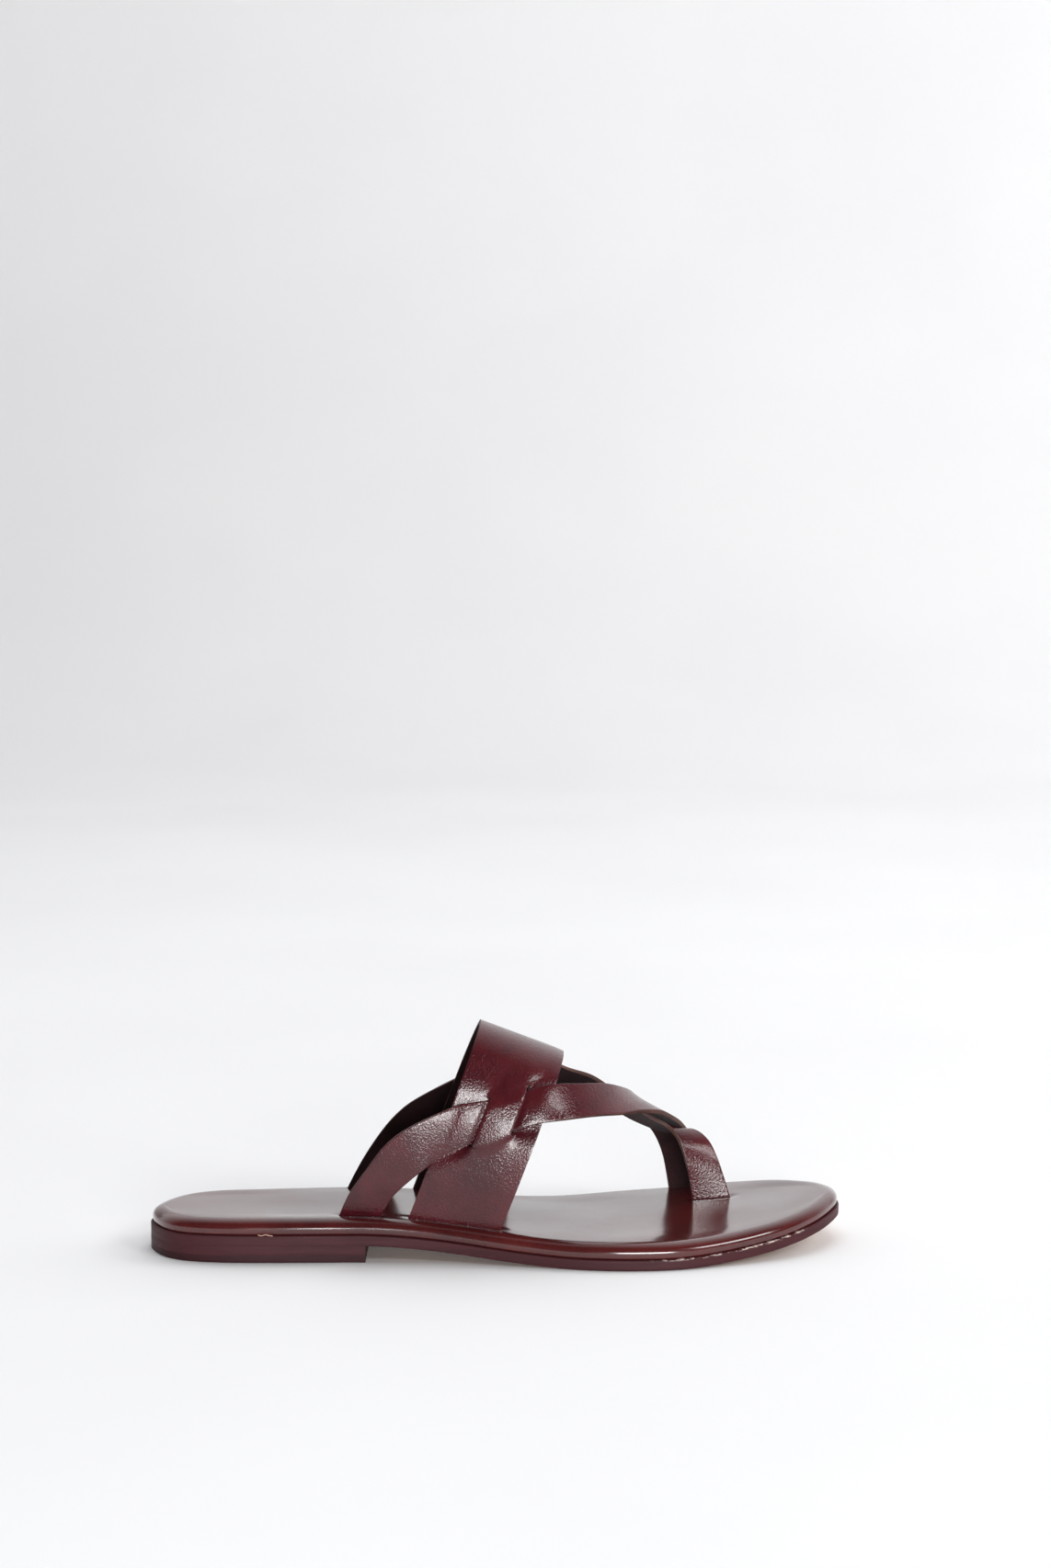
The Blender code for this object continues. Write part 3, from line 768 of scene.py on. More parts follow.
def rounded(bottom: float, top: float, lower: float | np.ndarray, upper: float,
            steps: int = 4) -> list[tuple[float, float]]:
    """Rings of an upright edge on the outline, with quarter-round corners.

    Args:
        bottom: Height of the lower face.
        top: Height of the upper face.
        lower: Radius of the lower corner, one number or one for each point of the outline.
        upper: Radius of the upper corner.
        steps: Steps in each corner.

    Returns:
        Inset and height of each ring, from the bottom up.
    """
    turns = np.radians(np.linspace(0, 90, steps + 1))
    low = [(lower * (1 - math.sin(a)), bottom + lower * (1 - math.cos(a))) for a in turns]
    wall = [(0.0, bottom + (top - bottom) * share) for share in WALL_RINGS]
    high = [(upper * (1 - math.cos(a)), top - upper * (1 - math.sin(a))) for a in turns]
    return low + wall + high


@dataclass
class Heel:
    """Stacked heel: the rubber top piece on the ground and the leather lift above it."""

    form: SoleForm
    breast: float = -48.5 * MM
    tread: float = 2.8 * MM
    corner: float = 0.4 * MM
    hairline: float = 0.02 * MM

    def stack(self, name: str, bottom: float, top: float, finish: Finishes, lower: float) -> Object:
        """One layer of the heel, cut straight at the breast.

        Args:
            name: The layer's name.
            bottom: Its lower face, above the ground.
            top: Its upper face.
            finish: What it is finished in.
            lower: Radius of its lower rim.

        Returns:
            The piece.
        """
        patches = self.form.slab(rounded(bottom, top, lower, self.hairline), level=True)
        layer = closed_piece(name, patches, [finish.material])
        shape = bmesh.new()
        shape.from_mesh(layer.data)
        everything = [*shape.verts, *shape.edges, *shape.faces]
        cut = bmesh.ops.bisect_plane(shape, geom=everything, plane_co=(self.breast, 0, 0), plane_no=(1, 0, 0),
                                     clear_outer=True)
        rim = [part for part in cut["geom_cut"] if isinstance(part, bmesh.types.BMEdge)]
        bmesh.ops.contextual_create(shape, geom=rim)
        bmesh.ops.recalc_face_normals(shape, faces=shape.faces)
        shape.to_mesh(layer.data)
        shape.free()
        layer.data.set_sharp_from_angle(angle=CREASE)
        return layer

    def build(self) -> list[Object]:
        """Make both layers.

        Returns:
            The pieces.
        """
        top_piece = self.stack("top_piece", 0.0, self.tread, Finishes.RUBBER, self.corner)
        lift = self.stack("lift", self.tread + self.hairline, self.form.seat_rise - self.hairline,
                          Finishes.PAINT, self.hairline)
        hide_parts("heel_top_piece")
        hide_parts("heel_lift")
        return [top_piece, lift]


@dataclass
class Outsole:
    """Full-length leather sole: painted edge that stands out as a ledge, bare tread below."""

    form: SoleForm
    thickness: float = 4.0 * MM
    corner: float = 0.55 * MM
    corner_steps: int = 5
    seat_corner: float = 0.03 * MM
    seat_end: float = -50.0 * MM
    seat_fade: float = 3.0 * MM
    # The upper corner rings, where the pale flecks of worn paint and painted glints of light go.
    rub_and_glint_start: float = 0.84
    rub_and_glint_fade: float = 0.1

    def build(self) -> list[Object]:
        """Make the sole. The mask of its rim for worn paint and painted glints of light is 1 on the upper
        corner and 0 elsewhere.

        Returns:
            The piece.
        """
        free = smoothstep((self.form.outline[:, 0] - self.seat_end) / self.seat_fade)
        lower = self.seat_corner + (self.corner - self.seat_corner) * free
        rings = rounded(0.0, self.thickness, lower, self.corner, self.corner_steps)
        rim, tread, seat = self.form.slab(rings)
        heights = np.array([np.mean(height) for _, height in rings]) / self.thickness
        rim.rub_and_glint = smoothstep((heights - self.rub_and_glint_start) / self.rub_and_glint_fade)[:, None]
        tread.finish = 1
        piece = closed_piece("sole_leather", [rim, tread, seat],
                             [Finishes.PAINT.material, Finishes.TREAD.material])
        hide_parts("outsole")
        return [piece]


@dataclass
class Footbed:
    """Leather wrapped over the footbed: round edge, softly uneven top, tucked in round every slot."""

    form: SoleForm
    bottom: float = 4.12 * MM
    height: float = 5.58 * MM
    cover: float = 1.0 * MM
    wall: float = 0.7 * MM
    roll: float = 4.8 * MM
    undercut: float = 0.55 * MM
    undercut_turn: float = 80.0
    belly: float = 0.36
    lining: float = 2.2 * MM
    flange: float = 1.0 * MM
    flange_inset: float = 8.0 * MM
    columns: int = 84
    ceiling_columns: int = 6
    wave_depths: tuple = (0.16, 0.09, 0.05)
    hollows: tuple = ((0.5, -88, 30, -9, 19), (0.45, 48, 26, -4, 24), (0.35, 100, 14, 12, 17))
    tuck_depth: float = 0.55
    tuck_reach: float = 2.2

    def rings(self) -> list[tuple[float, float]]:
        """Section of the cover: down its inside, round the turned-in flange and up the outside.

        Returns:
            Inset and height of each ring.
        """
        top = self.bottom + self.height
        ceiling = top - self.cover
        flange = self.bottom + self.flange
        inside = [(self.lining + 2.0 * MM, ceiling), (self.lining + 0.7 * MM, ceiling - 0.7 * MM),
                  (self.lining, flange + 1.2 * MM), (self.lining, flange), (self.flange_inset, flange),
                  (self.flange_inset, self.bottom)]
        middle = self.bottom + self.belly * self.height
        lower = []
        for angle in np.radians(np.linspace(-self.undercut_turn, 0, 9)[:-1]):
            drop = self.belly * self.height * math.sin(angle) / math.sin(math.radians(self.undercut_turn))
            lower.append((self.wall + self.undercut * (1 - math.cos(angle)), middle + drop))
        upper = []
        for angle in np.radians(np.linspace(0, 90, 15)):
            rise = (1 - self.belly) * self.height * math.sin(angle)
            upper.append((self.wall + self.roll * (1 - math.cos(angle)), middle + rise))
        return inside + lower + upper

    def top(self, ring: np.ndarray, tucks: list[np.ndarray]) -> np.ndarray:
        """Upper face: flat strips plus slow waves that die out at the rim, dipped like a bell at each slot.

        The hollows of the seat, the ball and the toes are bells too. Each is given as its depth, then its
        place and reach along the foot, and the same across it. Depths and lengths here are in millimetres.

        Args:
            ring: The last ring of the rim.
            tucks: Points along each slot.

        Returns:
            The grid of the face.
        """
        grid = self.form.across(ring, self.columns)
        share = np.linspace(0.0, 1.0, self.columns + 1)[None, :]
        inside = smoothstep(np.minimum(share, 1 - share) * 6) * np.ones((len(grid), 1))
        x, y = grid[..., 0] / MM, grid[..., 1] / MM
        slow, middling, quick = self.wave_depths
        lift = slow * np.sin(x / 15 + 0.6 * np.sin(y / 13)) * np.cos(y / 17 + x / 60)
        lift += middling * np.sin(y / 6.5 + 0.8 * np.sin(x / 24) + 1.0)
        lift += quick * np.sin(x / 7.3 - y / 9.1 + 1.7 * np.sin(x / 31))
        for depth, along, length, across, width in self.hollows:
            lift -= depth * np.exp(-((x - along) / length) ** 2 - ((y - across) / width) ** 2)
        lift *= inside
        for tuck in tucks:
            reach = np.min(np.hypot(x[..., None] - tuck[:, 0] / MM, y[..., None] - tuck[:, 1] / MM), axis=-1)
            lift -= self.tuck_depth * np.exp(-(reach / self.tuck_reach) ** 2) * inside
        grid[..., 2] += lift * MM
        return grid

    def build(self, uppers: list[Upper]) -> list[Object]:
        """Make the cover and cut the slots that the leather of the upper passes through.

        Args:
            uppers: The band and the straps.

        Returns:
            The piece.
        """
        rim = np.array([self.form.ring(inset, height) for inset, height in self.rings()])
        tucks = [tuck for upper in uppers for tuck in upper.entries(self.bottom + self.height)]
        ceiling = Patch(self.form.across(rim[0], self.ceiling_columns))
        patches = [Patch(rim, closed=True), ceiling, Patch(self.top(rim[-1], tucks))]
        piece = closed_piece("footbed_leather_cover", patches, [Finishes.FOOTBED.material])
        cutters = [cutter for upper in uppers for cutter in upper.cutters()]
        for cutter in cutters:
            slot = piece.modifiers.new(cutter.name, "BOOLEAN")
            slot.operation = "DIFFERENCE"
            slot.solver = "EXACT"
            slot.object = cutter
        settle(piece, CREASE)
        for cutter in cutters:
            bpy.data.objects.remove(cutter)
        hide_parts("footbed_cover")
        return [piece]


# ---------------------------------------------------------------- the upper


@dataclass
class Upper:
    """A leather strip of the upper: a middle surface given a thickness, thinned where it is tucked away."""

    form: SoleForm
    name: str
    node: str
    thickness: float
    tail: float = 11.0 * MM
    tail_level: float = 4.8 * MM
    turn: float = 1.3 * MM
    skived: float = 0.5
    seat: float = 9.7 * MM
    board: float = 5.6 * MM
    leg_height: float = 15.0 * MM
    room_beside: float = 0.25 * MM
    room_through: float = 0.3 * MM
    narrowest_slot: float = 0.3
    eased: float = 0.28 * MM
    eased_from: float = math.radians(55)
    edge_crease: float = math.radians(50)

    def middle(self) -> tuple[np.ndarray, np.ndarray]:
        """Grid of the middle surface, and which of its faces are left out."""
        raise NotImplementedError

    def tucked(self, entry: np.ndarray, side: float) -> np.ndarray:
        """Turn under the board: a quarter round, then straight inwards.

        Args:
            entry: Points where the leather comes down, one a row.
            side: Which way is outwards across the foot.

        Returns:
            Points along the turn, with the entry's points along the second axis.
        """
        angle = np.radians(np.linspace(0, 90, 9))[:, None]
        share = np.linspace(0.0, 1.0, 7)[1:, None]
        inward = np.vstack([self.turn * (1 - np.cos(angle)), self.turn + share * (self.tail - self.turn)])
        rise = np.vstack([self.turn * (1 - np.sin(angle)), 0 * share])
        level = self.form.underside(entry[:, 0]) + self.tail_level
        return np.stack([entry[:, 0] + 0 * rise, entry[:, 1] - side * inward, level + rise], 2)

    def fullness(self, grid: np.ndarray) -> np.ndarray:
        """Share of the full thickness: 1 above the footbed, falling smoothly where the leather is skived."""
        depth = grid[..., 2] - self.form.underside(grid[..., 0])
        return smoothstep((depth - self.board) / (self.seat - self.board))

    def sheet(self, name: str, grid: np.ndarray, skipped: np.ndarray | None, thickness: float,
              least: float) -> Object:
        """Solid leather round a middle surface.

        Args:
            name: The object's name.
            grid: The middle surface, its faces turned outwards.
            skipped: Faces that are left out, or None.
            thickness: Full thickness.
            least: Least share of the thickness.

        Returns:
            The object, with grain, flesh and cut-edge faces.
        """
        quads = Patch(grid).quads(0)
        if skipped is not None:
            quads = quads[~skipped.ravel()]
        mesh = bpy.data.meshes.new(name)
        mesh.from_pydata(grid.reshape(-1, 3).tolist(), [], quads.tolist())
        finishes = [Finishes.STRAP.material, Finishes.FLESH.material, Finishes.EDGE.material]
        obj = placed(name, mesh, finishes)
        group = obj.vertex_groups.new(name="full")
        share = np.maximum(self.fullness(grid), least).ravel()
        for level in np.unique(share.round(2)):
            numbers = np.flatnonzero(share.round(2) == level)
            group.add(numbers.tolist(), float(level), "REPLACE")
        solid = obj.modifiers.new("leather", "SOLIDIFY")
        solid.thickness = thickness
        solid.offset = 0.0
        solid.use_even_offset = True
        solid.vertex_group = "full"
        solid.thickness_vertex_group = self.skived
        solid.material_offset = 1
        solid.material_offset_rim = 2
        return obj

    def build(self) -> list[Object]:
        """Make the strip, with its cut edges eased.

        Returns:
            The piece.
        """
        grid, skipped = self.middle()
        piece = self.sheet(self.name, grid, skipped, self.thickness, 0.0)
        ease = piece.modifiers.new("eased_edges", "BEVEL")
        ease.width = self.eased
        ease.segments = 3
        ease.limit_method = "ANGLE"
        ease.angle_limit = self.eased_from
        ease.use_clamp_overlap = True
        settle(piece, self.edge_crease)
        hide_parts(self.node)
        return [piece]

    def legs(self) -> list[np.ndarray]:
        """The two stretches of the middle surface that go down through the footbed.

        Returns:
            Their grids, with the points across the leather along the first axis.
        """
        grid, _ = self.middle()
        height = grid[..., 2] - self.form.underside(grid[..., 0])
        low = np.flatnonzero(height.min(axis=0) < self.leg_height)
        split = int(np.argmax(np.diff(low))) + 1
        return [grid[:, low[:split]], grid[:, low[split:]]]

    def cutters(self) -> list[Object]:
        """Shapes of the slots: the legs with room round them.

        Returns:
            The cutters, hidden.
        """
        made = []
        for number, leg in enumerate(self.legs()):
            wide = leg.copy()
            for edge, inner in ((0, 1), (-1, -2)):
                outwards = leg[edge] - leg[inner]
                wide[edge] += self.room_beside * outwards / np.linalg.norm(outwards, axis=1)[:, None]
            cutter = self.sheet(f"{self.name}_slot_{number}", wide, None, self.thickness + self.room_through,
                                self.narrowest_slot)
            cutter.hide_render = True
            made.append(cutter)
        return made

    def entries(self, height: float) -> list[np.ndarray]:
        """Where each leg meets the top of the footbed.

        Args:
            height: Height of the footbed's top above the underside.

        Returns:
            Points across each leg.
        """
        found = []
        for leg in self.legs():
            above = np.abs(leg[..., 2] - self.form.underside(leg[..., 0]) - height)
            nearest = np.argmin(above, axis=1)
            found.append(leg[np.arange(len(leg)), nearest])
        return found


@dataclass
class Band(Upper):
    """Wide band over the instep, with two slits on each side that the straps are woven through."""

    width: float = 33.5 * MM
    tilt: float = math.radians(20.8)
    apex: tuple = (-6.4 * MM, -4.7 * MM, 84.3 * MM)
    flare: float = 0.12
    slit: float = 0.8 * MM
    rear: float = 12.1 * MM
    front: float = 24.2 * MM
    rear_ends: tuple = (61.2 * MM, 43.4 * MM)
    front_ends: tuple = (65.0 * MM, 47.6 * MM)
    lines: tuple = (15, 16, 13)
    turn_start: float = 1.6 * MM
    softness: float = 0.3 * MM
    softening: float = 2.0
    margin: float = 1.1 * MM
    margin_at_slit: float = 0.9 * MM
    margin_reach: float = 2.6 * MM
    bridge: float = 1.55 * MM
    bridge_bow: float = 0.15 * MM
    shallow: float = 0.45
    shallow_reach: float = 6.0 * MM
    fade: float = 12.0 * MM
    fade_above: float = 0.8
    fade_below: float = 1.2
    dimple: float = 0.08 * MM
    dimple_reach: float = 2.2 * MM
    crease: float = 0.05 * MM
    half_steps: int = 190
    arch: tuple = (
        (0, 0), (8, 1.3), (15, 6), (20, 13.5), (23.3, 22), (25.2, 33), (25.4, 48), (24, 62), (22.3, 74),
        (21, 82),
    )

    def __post_init__(self) -> None:
        """Work out half of the arch: distance from the middle and drop below the crown along its length."""
        half = spline(np.array(self.arch) * MM, 40, mirror_start=True)
        self.reach, self.drop = half[:, 0], half[:, 1]
        steps = np.linalg.norm(np.diff(half, axis=0), axis=1)
        self.length = np.concatenate([[0.0], np.cumsum(steps)])

    def crown(self, place: np.ndarray) -> np.ndarray:
        """Highest points of the band, at distances from its rear edge."""
        along = np.array([math.cos(self.tilt), 0.0, -math.sin(self.tilt)])
        return np.array(self.apex) + np.asarray(place)[..., None] * along

    def point(self, place: float, z: np.ndarray, side: float, proud: float) -> np.ndarray:
        """Points on a level line of the band: the arch is read at each height and moved out along its normal.

        Args:
            place: Distance from the rear edge.
            z: Heights of the points.
            side: Which way is outwards across the foot.
            proud: How far the points stand out from the band's middle.

        Returns:
            The points, one a row.
        """
        crown = self.crown(place)
        drop = (crown[2] - z) / math.cos(self.tilt)
        reach = np.interp(drop, self.drop, self.reach) * (1 + self.flare * place / self.width)
        rise = np.interp(drop + MM, self.drop, self.reach) - np.interp(drop - MM, self.drop, self.reach)
        lean = np.arctan(rise / (2 * MM))
        return np.stack([crown[0] - drop * math.sin(self.tilt),
                         crown[1] + side * (reach + proud * np.cos(lean)), z + proud * np.sin(lean)], 1)

    def places(self) -> np.ndarray:
        """Distances of the lines from the rear edge, with a pair of lines at each slit.

        Returns:
            The distances, from the rear edge to the front edge.
        """
        half = 0.5 * self.slit
        starts = (0.0, self.rear + half, self.front + half)
        ends = (self.rear - half, self.front - half, self.width)
        return np.concatenate([np.linspace(*stretch) for stretch in zip(starts, ends, self.lines)])

    def sides(self, places: np.ndarray) -> list[np.ndarray]:
        """Both halves of the unwoven band, each from the crown down to its tucked end.

        Args:
            places: Distances of the lines from the rear edge.

        Returns:
            The inner half and the outer half, a line a row.
        """
        down = np.array([-math.sin(self.tilt), 0.0, -math.cos(self.tilt)])
        crown = self.crown(places)
        x = crown[:, :1] + self.drop * down[0]
        z = crown[:, 2:] + self.drop * down[2]
        short = self.form.underside(x) + self.tail_level + self.turn_start - z
        ends = np.array([np.interp(0.0, row, self.length) for row in short])
        samples = ends[:, None] * np.linspace(0.0, 1.0, self.half_steps + 1)
        flare = 1 + self.flare * places[:, None] / self.width
        halves = []
        for side in (1, -1):
            leg = crown[:, None] + np.interp(samples, self.length, self.drop)[..., None] * down
            leg[..., 1] += side * np.interp(samples, self.length, self.reach) * flare
            tail = self.tucked(leg[:, -1], side).transpose(1, 0, 2)
            halves.append(np.concatenate([leg, tail], 1))
        return halves

    def woven(self, places: np.ndarray, z: np.ndarray) -> tuple[np.ndarray, np.ndarray]:
        """Height of the weave: product of two soft steps, softer with the distance past the slits' ends.

        The bridge between the slits stands proud and the margins beside it stand back. Both are shallower
        at the slits' upper ends and fade out above and below them.

        Args:
            places: Distances of the lines from the rear edge.
            z: Heights of the points.

        Returns:
            How far each point moves outwards, and how far it lies past the slits' ends.
        """
        share = ((places - self.rear) / (self.front - self.rear))[:, None]
        high, low = ((1 - share) * rear + share * front
                     for rear, front in zip(self.rear_ends, self.front_ends))
        past = np.abs(z - 0.5 * (high + low)) - 0.5 * (high - low)
        beyond = np.maximum(past, 0.0)
        soft = self.softness + self.softening * beyond
        across = places[:, None]
        steps = np.tanh((across - self.rear) / soft) * np.tanh((self.front - across) / soft)
        gap = np.minimum(np.abs(across - self.rear), np.abs(across - self.front))
        margin = self.margin + self.margin_at_slit * np.exp(-gap / self.margin_reach)
        bridge = self.bridge + self.bridge_bow * np.sin(math.pi * np.clip(share, 0, 1))
        full = self.shallow + (1 - self.shallow) * smoothstep((high - z) / self.shallow_reach)
        depth = np.where(steps > 0, bridge, margin) * full
        reach = self.fade * np.where(z > 0.5 * (high + low), self.fade_above, self.fade_below)
        return steps * depth * (1 - smoothstep(beyond / reach)), past

    def puckers(self, places: np.ndarray, z: np.ndarray) -> np.ndarray:
        """Dimples like bells at the slits' ends, with creases that fan out from them as sine rays.

        Args:
            places: Distances of the lines from the rear edge.
            z: Heights of the points.

        Returns:
            How far each point moves outwards.
        """
        moved = np.zeros_like(z)
        for place, ends in ((self.rear, self.rear_ends), (self.front, self.front_ends)):
            for end, sign in zip(ends, (1, -1)):
                aside = places[:, None] - place
                away = sign * (z - end)
                distance = np.hypot(aside, away)
                angle = np.arctan2(aside, away)
                rays = np.cos(angle * 3.0) * smoothstep((away - 1 * MM) / (3 * MM))
                moved -= self.dimple * np.exp(-(distance / self.dimple_reach) ** 2)
                moved += self.crease * rays * np.exp(-((distance - 4 * MM) / (2.8 * MM)) ** 2)
        return moved

    def middle(self) -> tuple[np.ndarray, np.ndarray]:
        """Grid of the woven band, and the faces left out for its slits.

        Returns:
            The grid, and True for each face between the lines of a slit and between its ends.
        """
        places = self.places()
        pieces, holes = [], []
        for half in self.sides(places):
            normal = surface_normals(half)
            crown_side = np.sign(normal[len(places) // 2, 0, 2])
            move, past = self.woven(places, half[..., 2])
            move = move + self.puckers(places, half[..., 2])
            pieces.append(half + normal * crown_side * move[..., None])
            holes.append(past < 0)
        grid = np.concatenate([pieces[0][:, ::-1], pieces[1][:, 1:]], 1)
        inside = np.concatenate([holes[0][:, ::-1], holes[1][:, 1:]], 1)
        narrow = np.isclose(np.diff(places), self.slit)
        skipped = inside[:-1, :-1] & inside[:-1, 1:] & narrow[:, None]
        return grid, skipped


class Foot(Enum):
    """The two sides of the foot and which way each lies."""

    OUTER = -1
    INNER = 1


@dataclass
class Strap(Upper):
    """Narrow strap: over the band's rear margin, in and out through its slits and down to the toe loop."""

    band: Band | None = None
    foot: Foot = Foot.OUTER
    rear_ribs: tuple = ()
    front_ribs: tuple = ()
    camber: float = 0.22 * MM
    width_steps: int = 14
    length_steps: int = 11
    bridge_rib: int = 4
    woven_ribs: tuple = (
        (1.0, 1.0, 57.8, 37.6), (5.2, 1.0, 58.8, 41.0), (9.4, 0.75, 59.5, 43.4), (12.1, 0.0, 60.0, 44.7),
        (18.15, -0.5, 61.6, 46.7), (24.2, -0.1, 62.7, 48.9), (27.0, 0.6, 63.6, 50.0),
        (33.0, 0.65, 64.5, 51.6),
    )

    def ribs(self) -> np.ndarray:
        """Lines across the strap: straight between its edges, and curved as the band is where it is woven.

        A woven rib is given as its distance from the band's rear edge, how proud it stands, and the heights
        of its two ends.

        Returns:
            The ribs along the first axis, the points across along the second.
        """
        share = np.linspace(0.0, 1.0, self.width_steps + 1)[None, :, None]
        side = self.foot.value
        woven = [self.band.point(place * MM, (high + (low - high) * share[0, :, 0]) * MM, side, proud * MM)
                 for place, proud, high, low in self.woven_ribs]
        rear, front = (ends[:, :1] * (1 - share) * MM + ends[:, 1:] * share * MM
                       for ends in (np.array(self.rear_ribs), np.array(self.front_ribs)))
        return np.concatenate([rear, np.array(woven), front])

    def middle(self) -> tuple[np.ndarray, None]:
        """Grid of the strap: a smooth curve through the ribs' like points, with its two tails.

        Returns:
            The grid, a line along the strap a row, and no faces left out.
        """
        lines = spline(self.ribs(), self.length_steps)
        start = self.tucked(lines[0], self.foot.value)[::-1]
        end = self.tucked(lines[-1], 1)
        grid = np.concatenate([start, lines[1:-1], end]).transpose(1, 0, 2)
        normal = surface_normals(grid)
        bridge = len(start) + self.length_steps * (len(self.rear_ribs) + self.bridge_rib)
        outwards = np.sign(normal[self.width_steps // 2, bridge, 1] * self.foot.value)
        share = np.linspace(-1.0, 1.0, self.width_steps + 1)[:, None]
        lift = self.camber * (1 - share ** 2) * self.fullness(grid)
        grid = grid + normal * outwards * lift[..., None]
        return (grid[::-1] if outwards > 0 else grid), None


OUTER_REAR = (
    ((-59.2, -25.7, 13.4), (-43.6, -26.3, 13.2)), ((-58.4, -26.0, 16.3), (-42.9, -26.7, 15.9)),
    ((-54.7, -28.0, 24.5), (-39.0, -28.8, 22.9)), ((-49.0, -29.9, 33.0), (-35.6, -30.3, 26.8)),
    ((-41.1, -31.3, 43.5), (-31.3, -31.4, 30.8)), ((-31.8, -32.0, 50.6), (-27.3, -31.8, 34.1)),
)
OUTER_FRONT = (
    ((31.2, -18.7, 63.9), (27.3, -29.2, 52.8)), ((40.0, -9.7, 62.0), (38.1, -21.7, 52.4)),
    ((46.0, -1.0, 58.9), (47.2, -13.3, 51.2)), ((50.4, 9.0, 55.0), (55.0, -4.5, 50.2)),
    ((52.5, 19.0, 50.6), (62.0, 4.5, 48.0)), ((53.3, 28.0, 45.6), (67.0, 15.5, 43.6)),
    ((55.0, 35.2, 39.8), (71.6, 28.0, 38.0)), ((60.0, 39.6, 34.2), (75.8, 36.6, 31.0)),
    ((63.4, 41.6, 27.3), (79.0, 39.8, 24.6)), ((65.5, 41.8, 20.0), (81.2, 40.9, 17.8)),
    ((67.2, 40.0, 10.3), (82.6, 40.9, 11.4)), ((67.6, 39.6, 7.4), (83.0, 40.5, 8.2)),
)
INNER_REAR = (
    ((-58.5, 15.3, 13.4), (-43.0, 15.8, 13.2)), ((-57.7, 15.6, 16.3), (-42.2, 16.2, 15.9)),
    ((-52.4, 18.6, 26.0), (-38.0, 18.9, 23.0)), ((-45.5, 20.6, 36.2), (-34.9, 20.4, 26.9)),
    ((-38.8, 21.8, 43.8), (-30.8, 21.5, 30.8)), ((-31.0, 22.4, 49.6), (-27.0, 22.0, 34.1)),
)
INNER_FRONT = (
    ((28.0, 19.0, 61.6), (24.0, 27.2, 50.2)), ((36.5, 19.4, 58.6), (34.0, 30.4, 48.6)),
    ((44.5, 20.2, 53.0), (43.5, 31.8, 44.4)), ((52.5, 21.4, 46.6), (53.0, 31.2, 39.4)),
    ((59.5, 22.4, 41.9), (61.5, 30.4, 36.0)), ((65.0, 22.6, 39.0), (69.0, 29.2, 34.9)),
    ((69.0, 21.4, 35.0), (76.4, 29.4, 35.0)), ((71.3, 20.2, 30.0), (81.6, 26.0, 32.0)),
    ((72.8, 20.0, 24.6), (85.0, 23.6, 26.0)), ((74.2, 20.4, 18.6), (87.3, 22.2, 19.8)),
    ((75.4, 21.0, 10.4), (89.9, 21.8, 11.7)), ((75.8, 21.0, 7.4), (90.4, 21.8, 8.2)),
)


# ---------------------------------------------------------------- small things


@dataclass
class LooseThread:
    """End of seam thread that shows in the groove over the heel."""

    form: SoleForm
    radius: float = 0.17 * MM
    sides: int = 10
    span_steps: int = 8
    route: tuple = (
        (-88.2, -35.6, 10.7), (-86.9, -35.9, 10.4), (-85.4, -36.0, 10.8), (-83.8, -36.0, 10.5),
        (-82.6, -35.8, 10.3),
    )

    def build(self) -> list[Object]:
        """Carry a circle along the route, closed to a point at both ends.

        Returns:
            The piece.
        """
        path = spline(np.array(self.route) * MM, self.span_steps)
        tangent = np.gradient(path, axis=0)
        tangent /= np.linalg.norm(tangent, axis=1)[:, None]
        side = np.cross(tangent, (0.0, 0.0, 1.0))
        side /= np.linalg.norm(side, axis=1)[:, None]
        up = np.cross(side, tangent)
        turns = np.linspace(0, 2 * math.pi, self.sides + 1)[:-1]
        swell = np.ones(len(path))
        swell[[0, -1]] = 0.0
        circle = side[:, None] * np.cos(turns)[:, None] + up[:, None] * np.sin(turns)[:, None]
        tube = path[:, None] + self.radius * swell[:, None, None] * circle
        return [closed_piece("loose_thread", [Patch(tube, closed=True)], [Finishes.THREAD.material])]


@dataclass
class HiddenParts:
    """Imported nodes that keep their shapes: the fillings and the fastenings."""

    finishes: tuple = (
        ("insole_board", Finishes.BOARD), ("bottom_filler", Finishes.BOARD), ("footbed_foam", Finishes.FOAM),
        ("shank", Finishes.STEEL), ("shank_rivet", Finishes.STEEL), ("heel_nail", Finishes.STEEL),
    )

    def dress(self) -> int:
        """Give every hidden node its finish.

        Returns:
            How many were dressed.
        """
        count = 0
        for name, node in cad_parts.items():
            for start, finish in self.finishes:
                if name.startswith(start):
                    node.data.materials.clear()
                    node.data.materials.append(finish.material)
                    count += 1
                    break
        return count


# ---------------------------------------------------------------- the studio


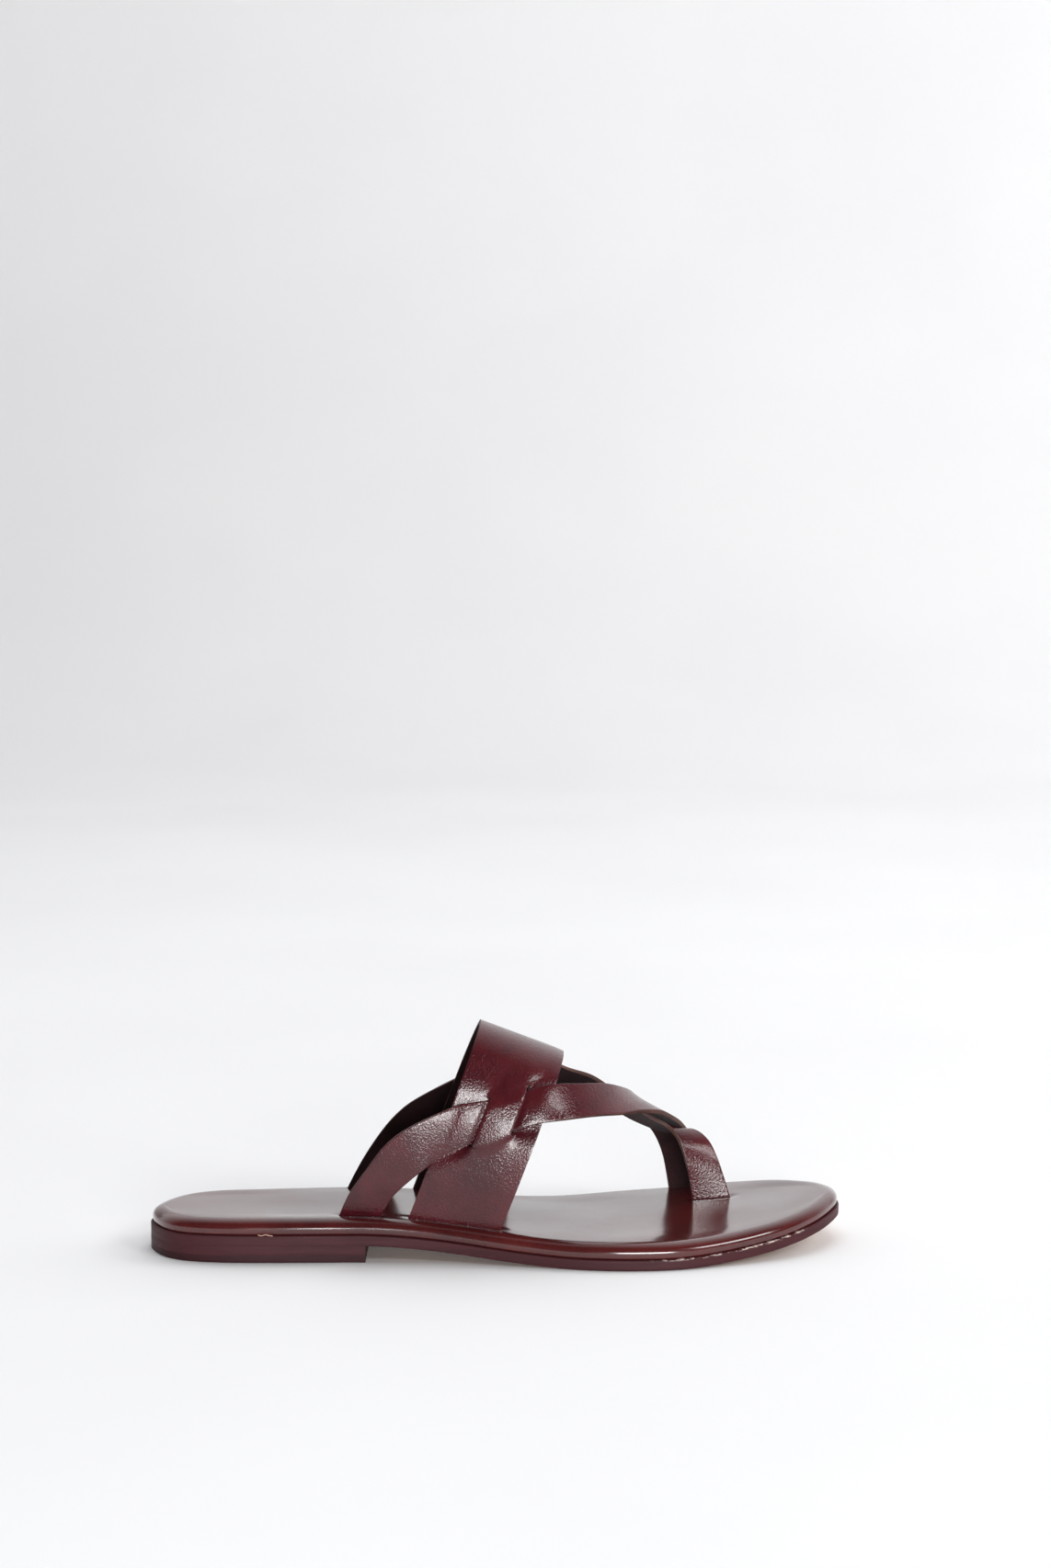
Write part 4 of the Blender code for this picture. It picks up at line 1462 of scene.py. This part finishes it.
@dataclass
class Studio:
    """Seamless paper, soft boxes and the camera, in metres, and the room's light from front to back."""

    front: float = -3.0
    depth: float = 1.5
    bend: float = 0.7
    half_width: float = 3.2
    tall: float = 1.4
    columns: int = 9
    sandal: Place = (0.0, 0.0, 0.04)
    room_span: tuple = (-0.25, 0.55, 0.05, 1.15)
    room_colour: Colour = (0.97, 0.98, 1.0)
    focal_length: float = 69.64
    sensor: float = 36.0
    stand: Place = (0.0108, -1.132, 0.3013)
    tilt: float = math.radians(83.61)

    def build(self) -> None:
        """Set up the paper, the lights and the camera."""
        self.paper()
        self.lights()
        self.camera()

    def paper(self) -> None:
        """Sweep of the paper: flat floor, a quarter round behind and a wall."""
        turns = np.radians(np.linspace(0, 90, 25))
        floor = np.stack([np.linspace(self.front, self.depth, 12), np.zeros(12)], 1)[:-1]
        bend = np.stack([self.depth + self.bend * np.sin(turns), self.bend * (1 - np.cos(turns))], 1)
        wall = np.stack([np.full(6, self.depth + self.bend), np.linspace(self.bend, self.tall, 6)], 1)[1:]
        profile = np.concatenate([floor, bend, wall])
        x = np.linspace(-self.half_width, self.half_width, self.columns)[None, :]
        grid = np.stack(np.broadcast_arrays(x, profile[:, :1], profile[:, 1:]), 2)
        mesh = bpy.data.meshes.new("studio_floor")
        mesh.from_pydata(grid.reshape(-1, 3).tolist(), [], Patch(grid).quads(0).tolist())
        placed("studio_floor", mesh, [Finishes.PAPER.material])

    def soft_box(self, name: str, place: Place, target: Place, size: tuple[float, float], power: float,
                 mirrored: bool = True) -> None:
        """Rectangular light that faces a point.

        Args:
            name: Its name.
            place: Where it stands.
            target: What it faces.
            size: Its width and height.
            power: Its power in watts.
            mirrored: Whether polished surfaces mirror it.
        """
        light = bpy.data.lights.new(name, "AREA")
        light.shape = "RECTANGLE"
        light.size, light.size_y = size
        light.energy = power
        lamp = bpy.data.objects.new(name, light)
        lamp.location = place
        aim = np.array(target) - np.array(place)
        lamp.visible_camera = False
        lamp.visible_glossy = mirrored
        lamp.rotation_euler = Vector(aim.tolist()).to_track_quat("-Z", "Y").to_euler()
        bpy.context.scene.collection.objects.link(lamp)

    def lights(self) -> None:
        """Soft boxes behind the camera, at the right and overhead, in a room that is paler behind."""
        self.soft_box("key_box", (0.40, -2.20, 0.27), self.sandal, (1.0, 0.48), 38.0)
        self.soft_box("window_box", (1.45, -1.31, 1.2), self.sandal, (0.6, 0.6), 12.0)
        self.soft_box("right_box", (2.5, 0.7, 1.5), (0.2, 1.4, 0.3), (1.2, 1.6), 38.0, mirrored=False)
        self.soft_box("back_box", (0.3, 0.9, 2.4), (0.1, 1.1, 0.0), (3.0, 1.5), 25.5, mirrored=False)
        world = bpy.data.worlds.new("studio_room")
        world.use_nodes = True
        nodes, links = world.node_tree.nodes, world.node_tree.links
        split = nodes.new("ShaderNodeSeparateXYZ")
        links.new(nodes.new("ShaderNodeTexCoord").outputs["Generated"], split.inputs[0])
        fade = nodes.new("ShaderNodeMapRange")
        for socket, value in zip(list(fade.inputs)[1:5], self.room_span):
            socket.default_value = value
        links.new(split.outputs["Y"], fade.inputs[0])
        links.new(fade.outputs[0], nodes["Background"].inputs["Strength"])
        nodes["Background"].inputs["Color"].default_value = (*self.room_colour, 1.0)
        bpy.context.scene.world = world
        bpy.context.scene.view_settings.view_transform = "Standard"

    def camera(self) -> None:
        """Long lens on the outer side, a little above the sandal and turned slightly down."""
        lens = bpy.data.cameras.new("camera")
        lens.lens = self.focal_length
        lens.sensor_width = self.sensor
        lens.clip_start = 0.05
        lens.clip_end = 20.0
        stand = bpy.data.objects.new("camera", lens)
        stand.location = self.stand
        stand.rotation_euler = (self.tilt, 0.0, 0.0)
        bpy.context.scene.collection.objects.link(stand)
        bpy.context.scene.camera = stand


def main() -> None:
    """Build every piece in order, dress the hidden ones and set up the studio."""
    logging.basicConfig(level=logging.INFO, format="%(name)s: %(message)s")
    Studio().build()
    form = SoleForm()
    band = Band(form, "band_leather", "instep_band", 1.9 * MM)
    outer = Strap(form, "outer_strap_leather", "lateral_strap", 1.8 * MM, band=band, foot=Foot.OUTER,
                  rear_ribs=OUTER_REAR, front_ribs=OUTER_FRONT)
    inner = Strap(form, "inner_strap_leather", "medial_strap", 1.8 * MM, band=band, foot=Foot.INNER,
                  rear_ribs=INNER_REAR, front_ribs=INNER_FRONT)
    uppers = [band, outer, inner]
    pieces = Heel(form).build() + Outsole(form).build() + Footbed(form).build(uppers)
    for upper in uppers:
        pieces += upper.build()
    pieces += LooseThread(form).build()
    for piece in pieces:
        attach(piece, "root")
        LOG.info("%s: %d points, %d faces", piece.name, len(piece.data.vertices), len(piece.data.polygons))
    LOG.info("%d hidden nodes dressed", HiddenParts().dress())


if __name__ == "__main__":
    main()
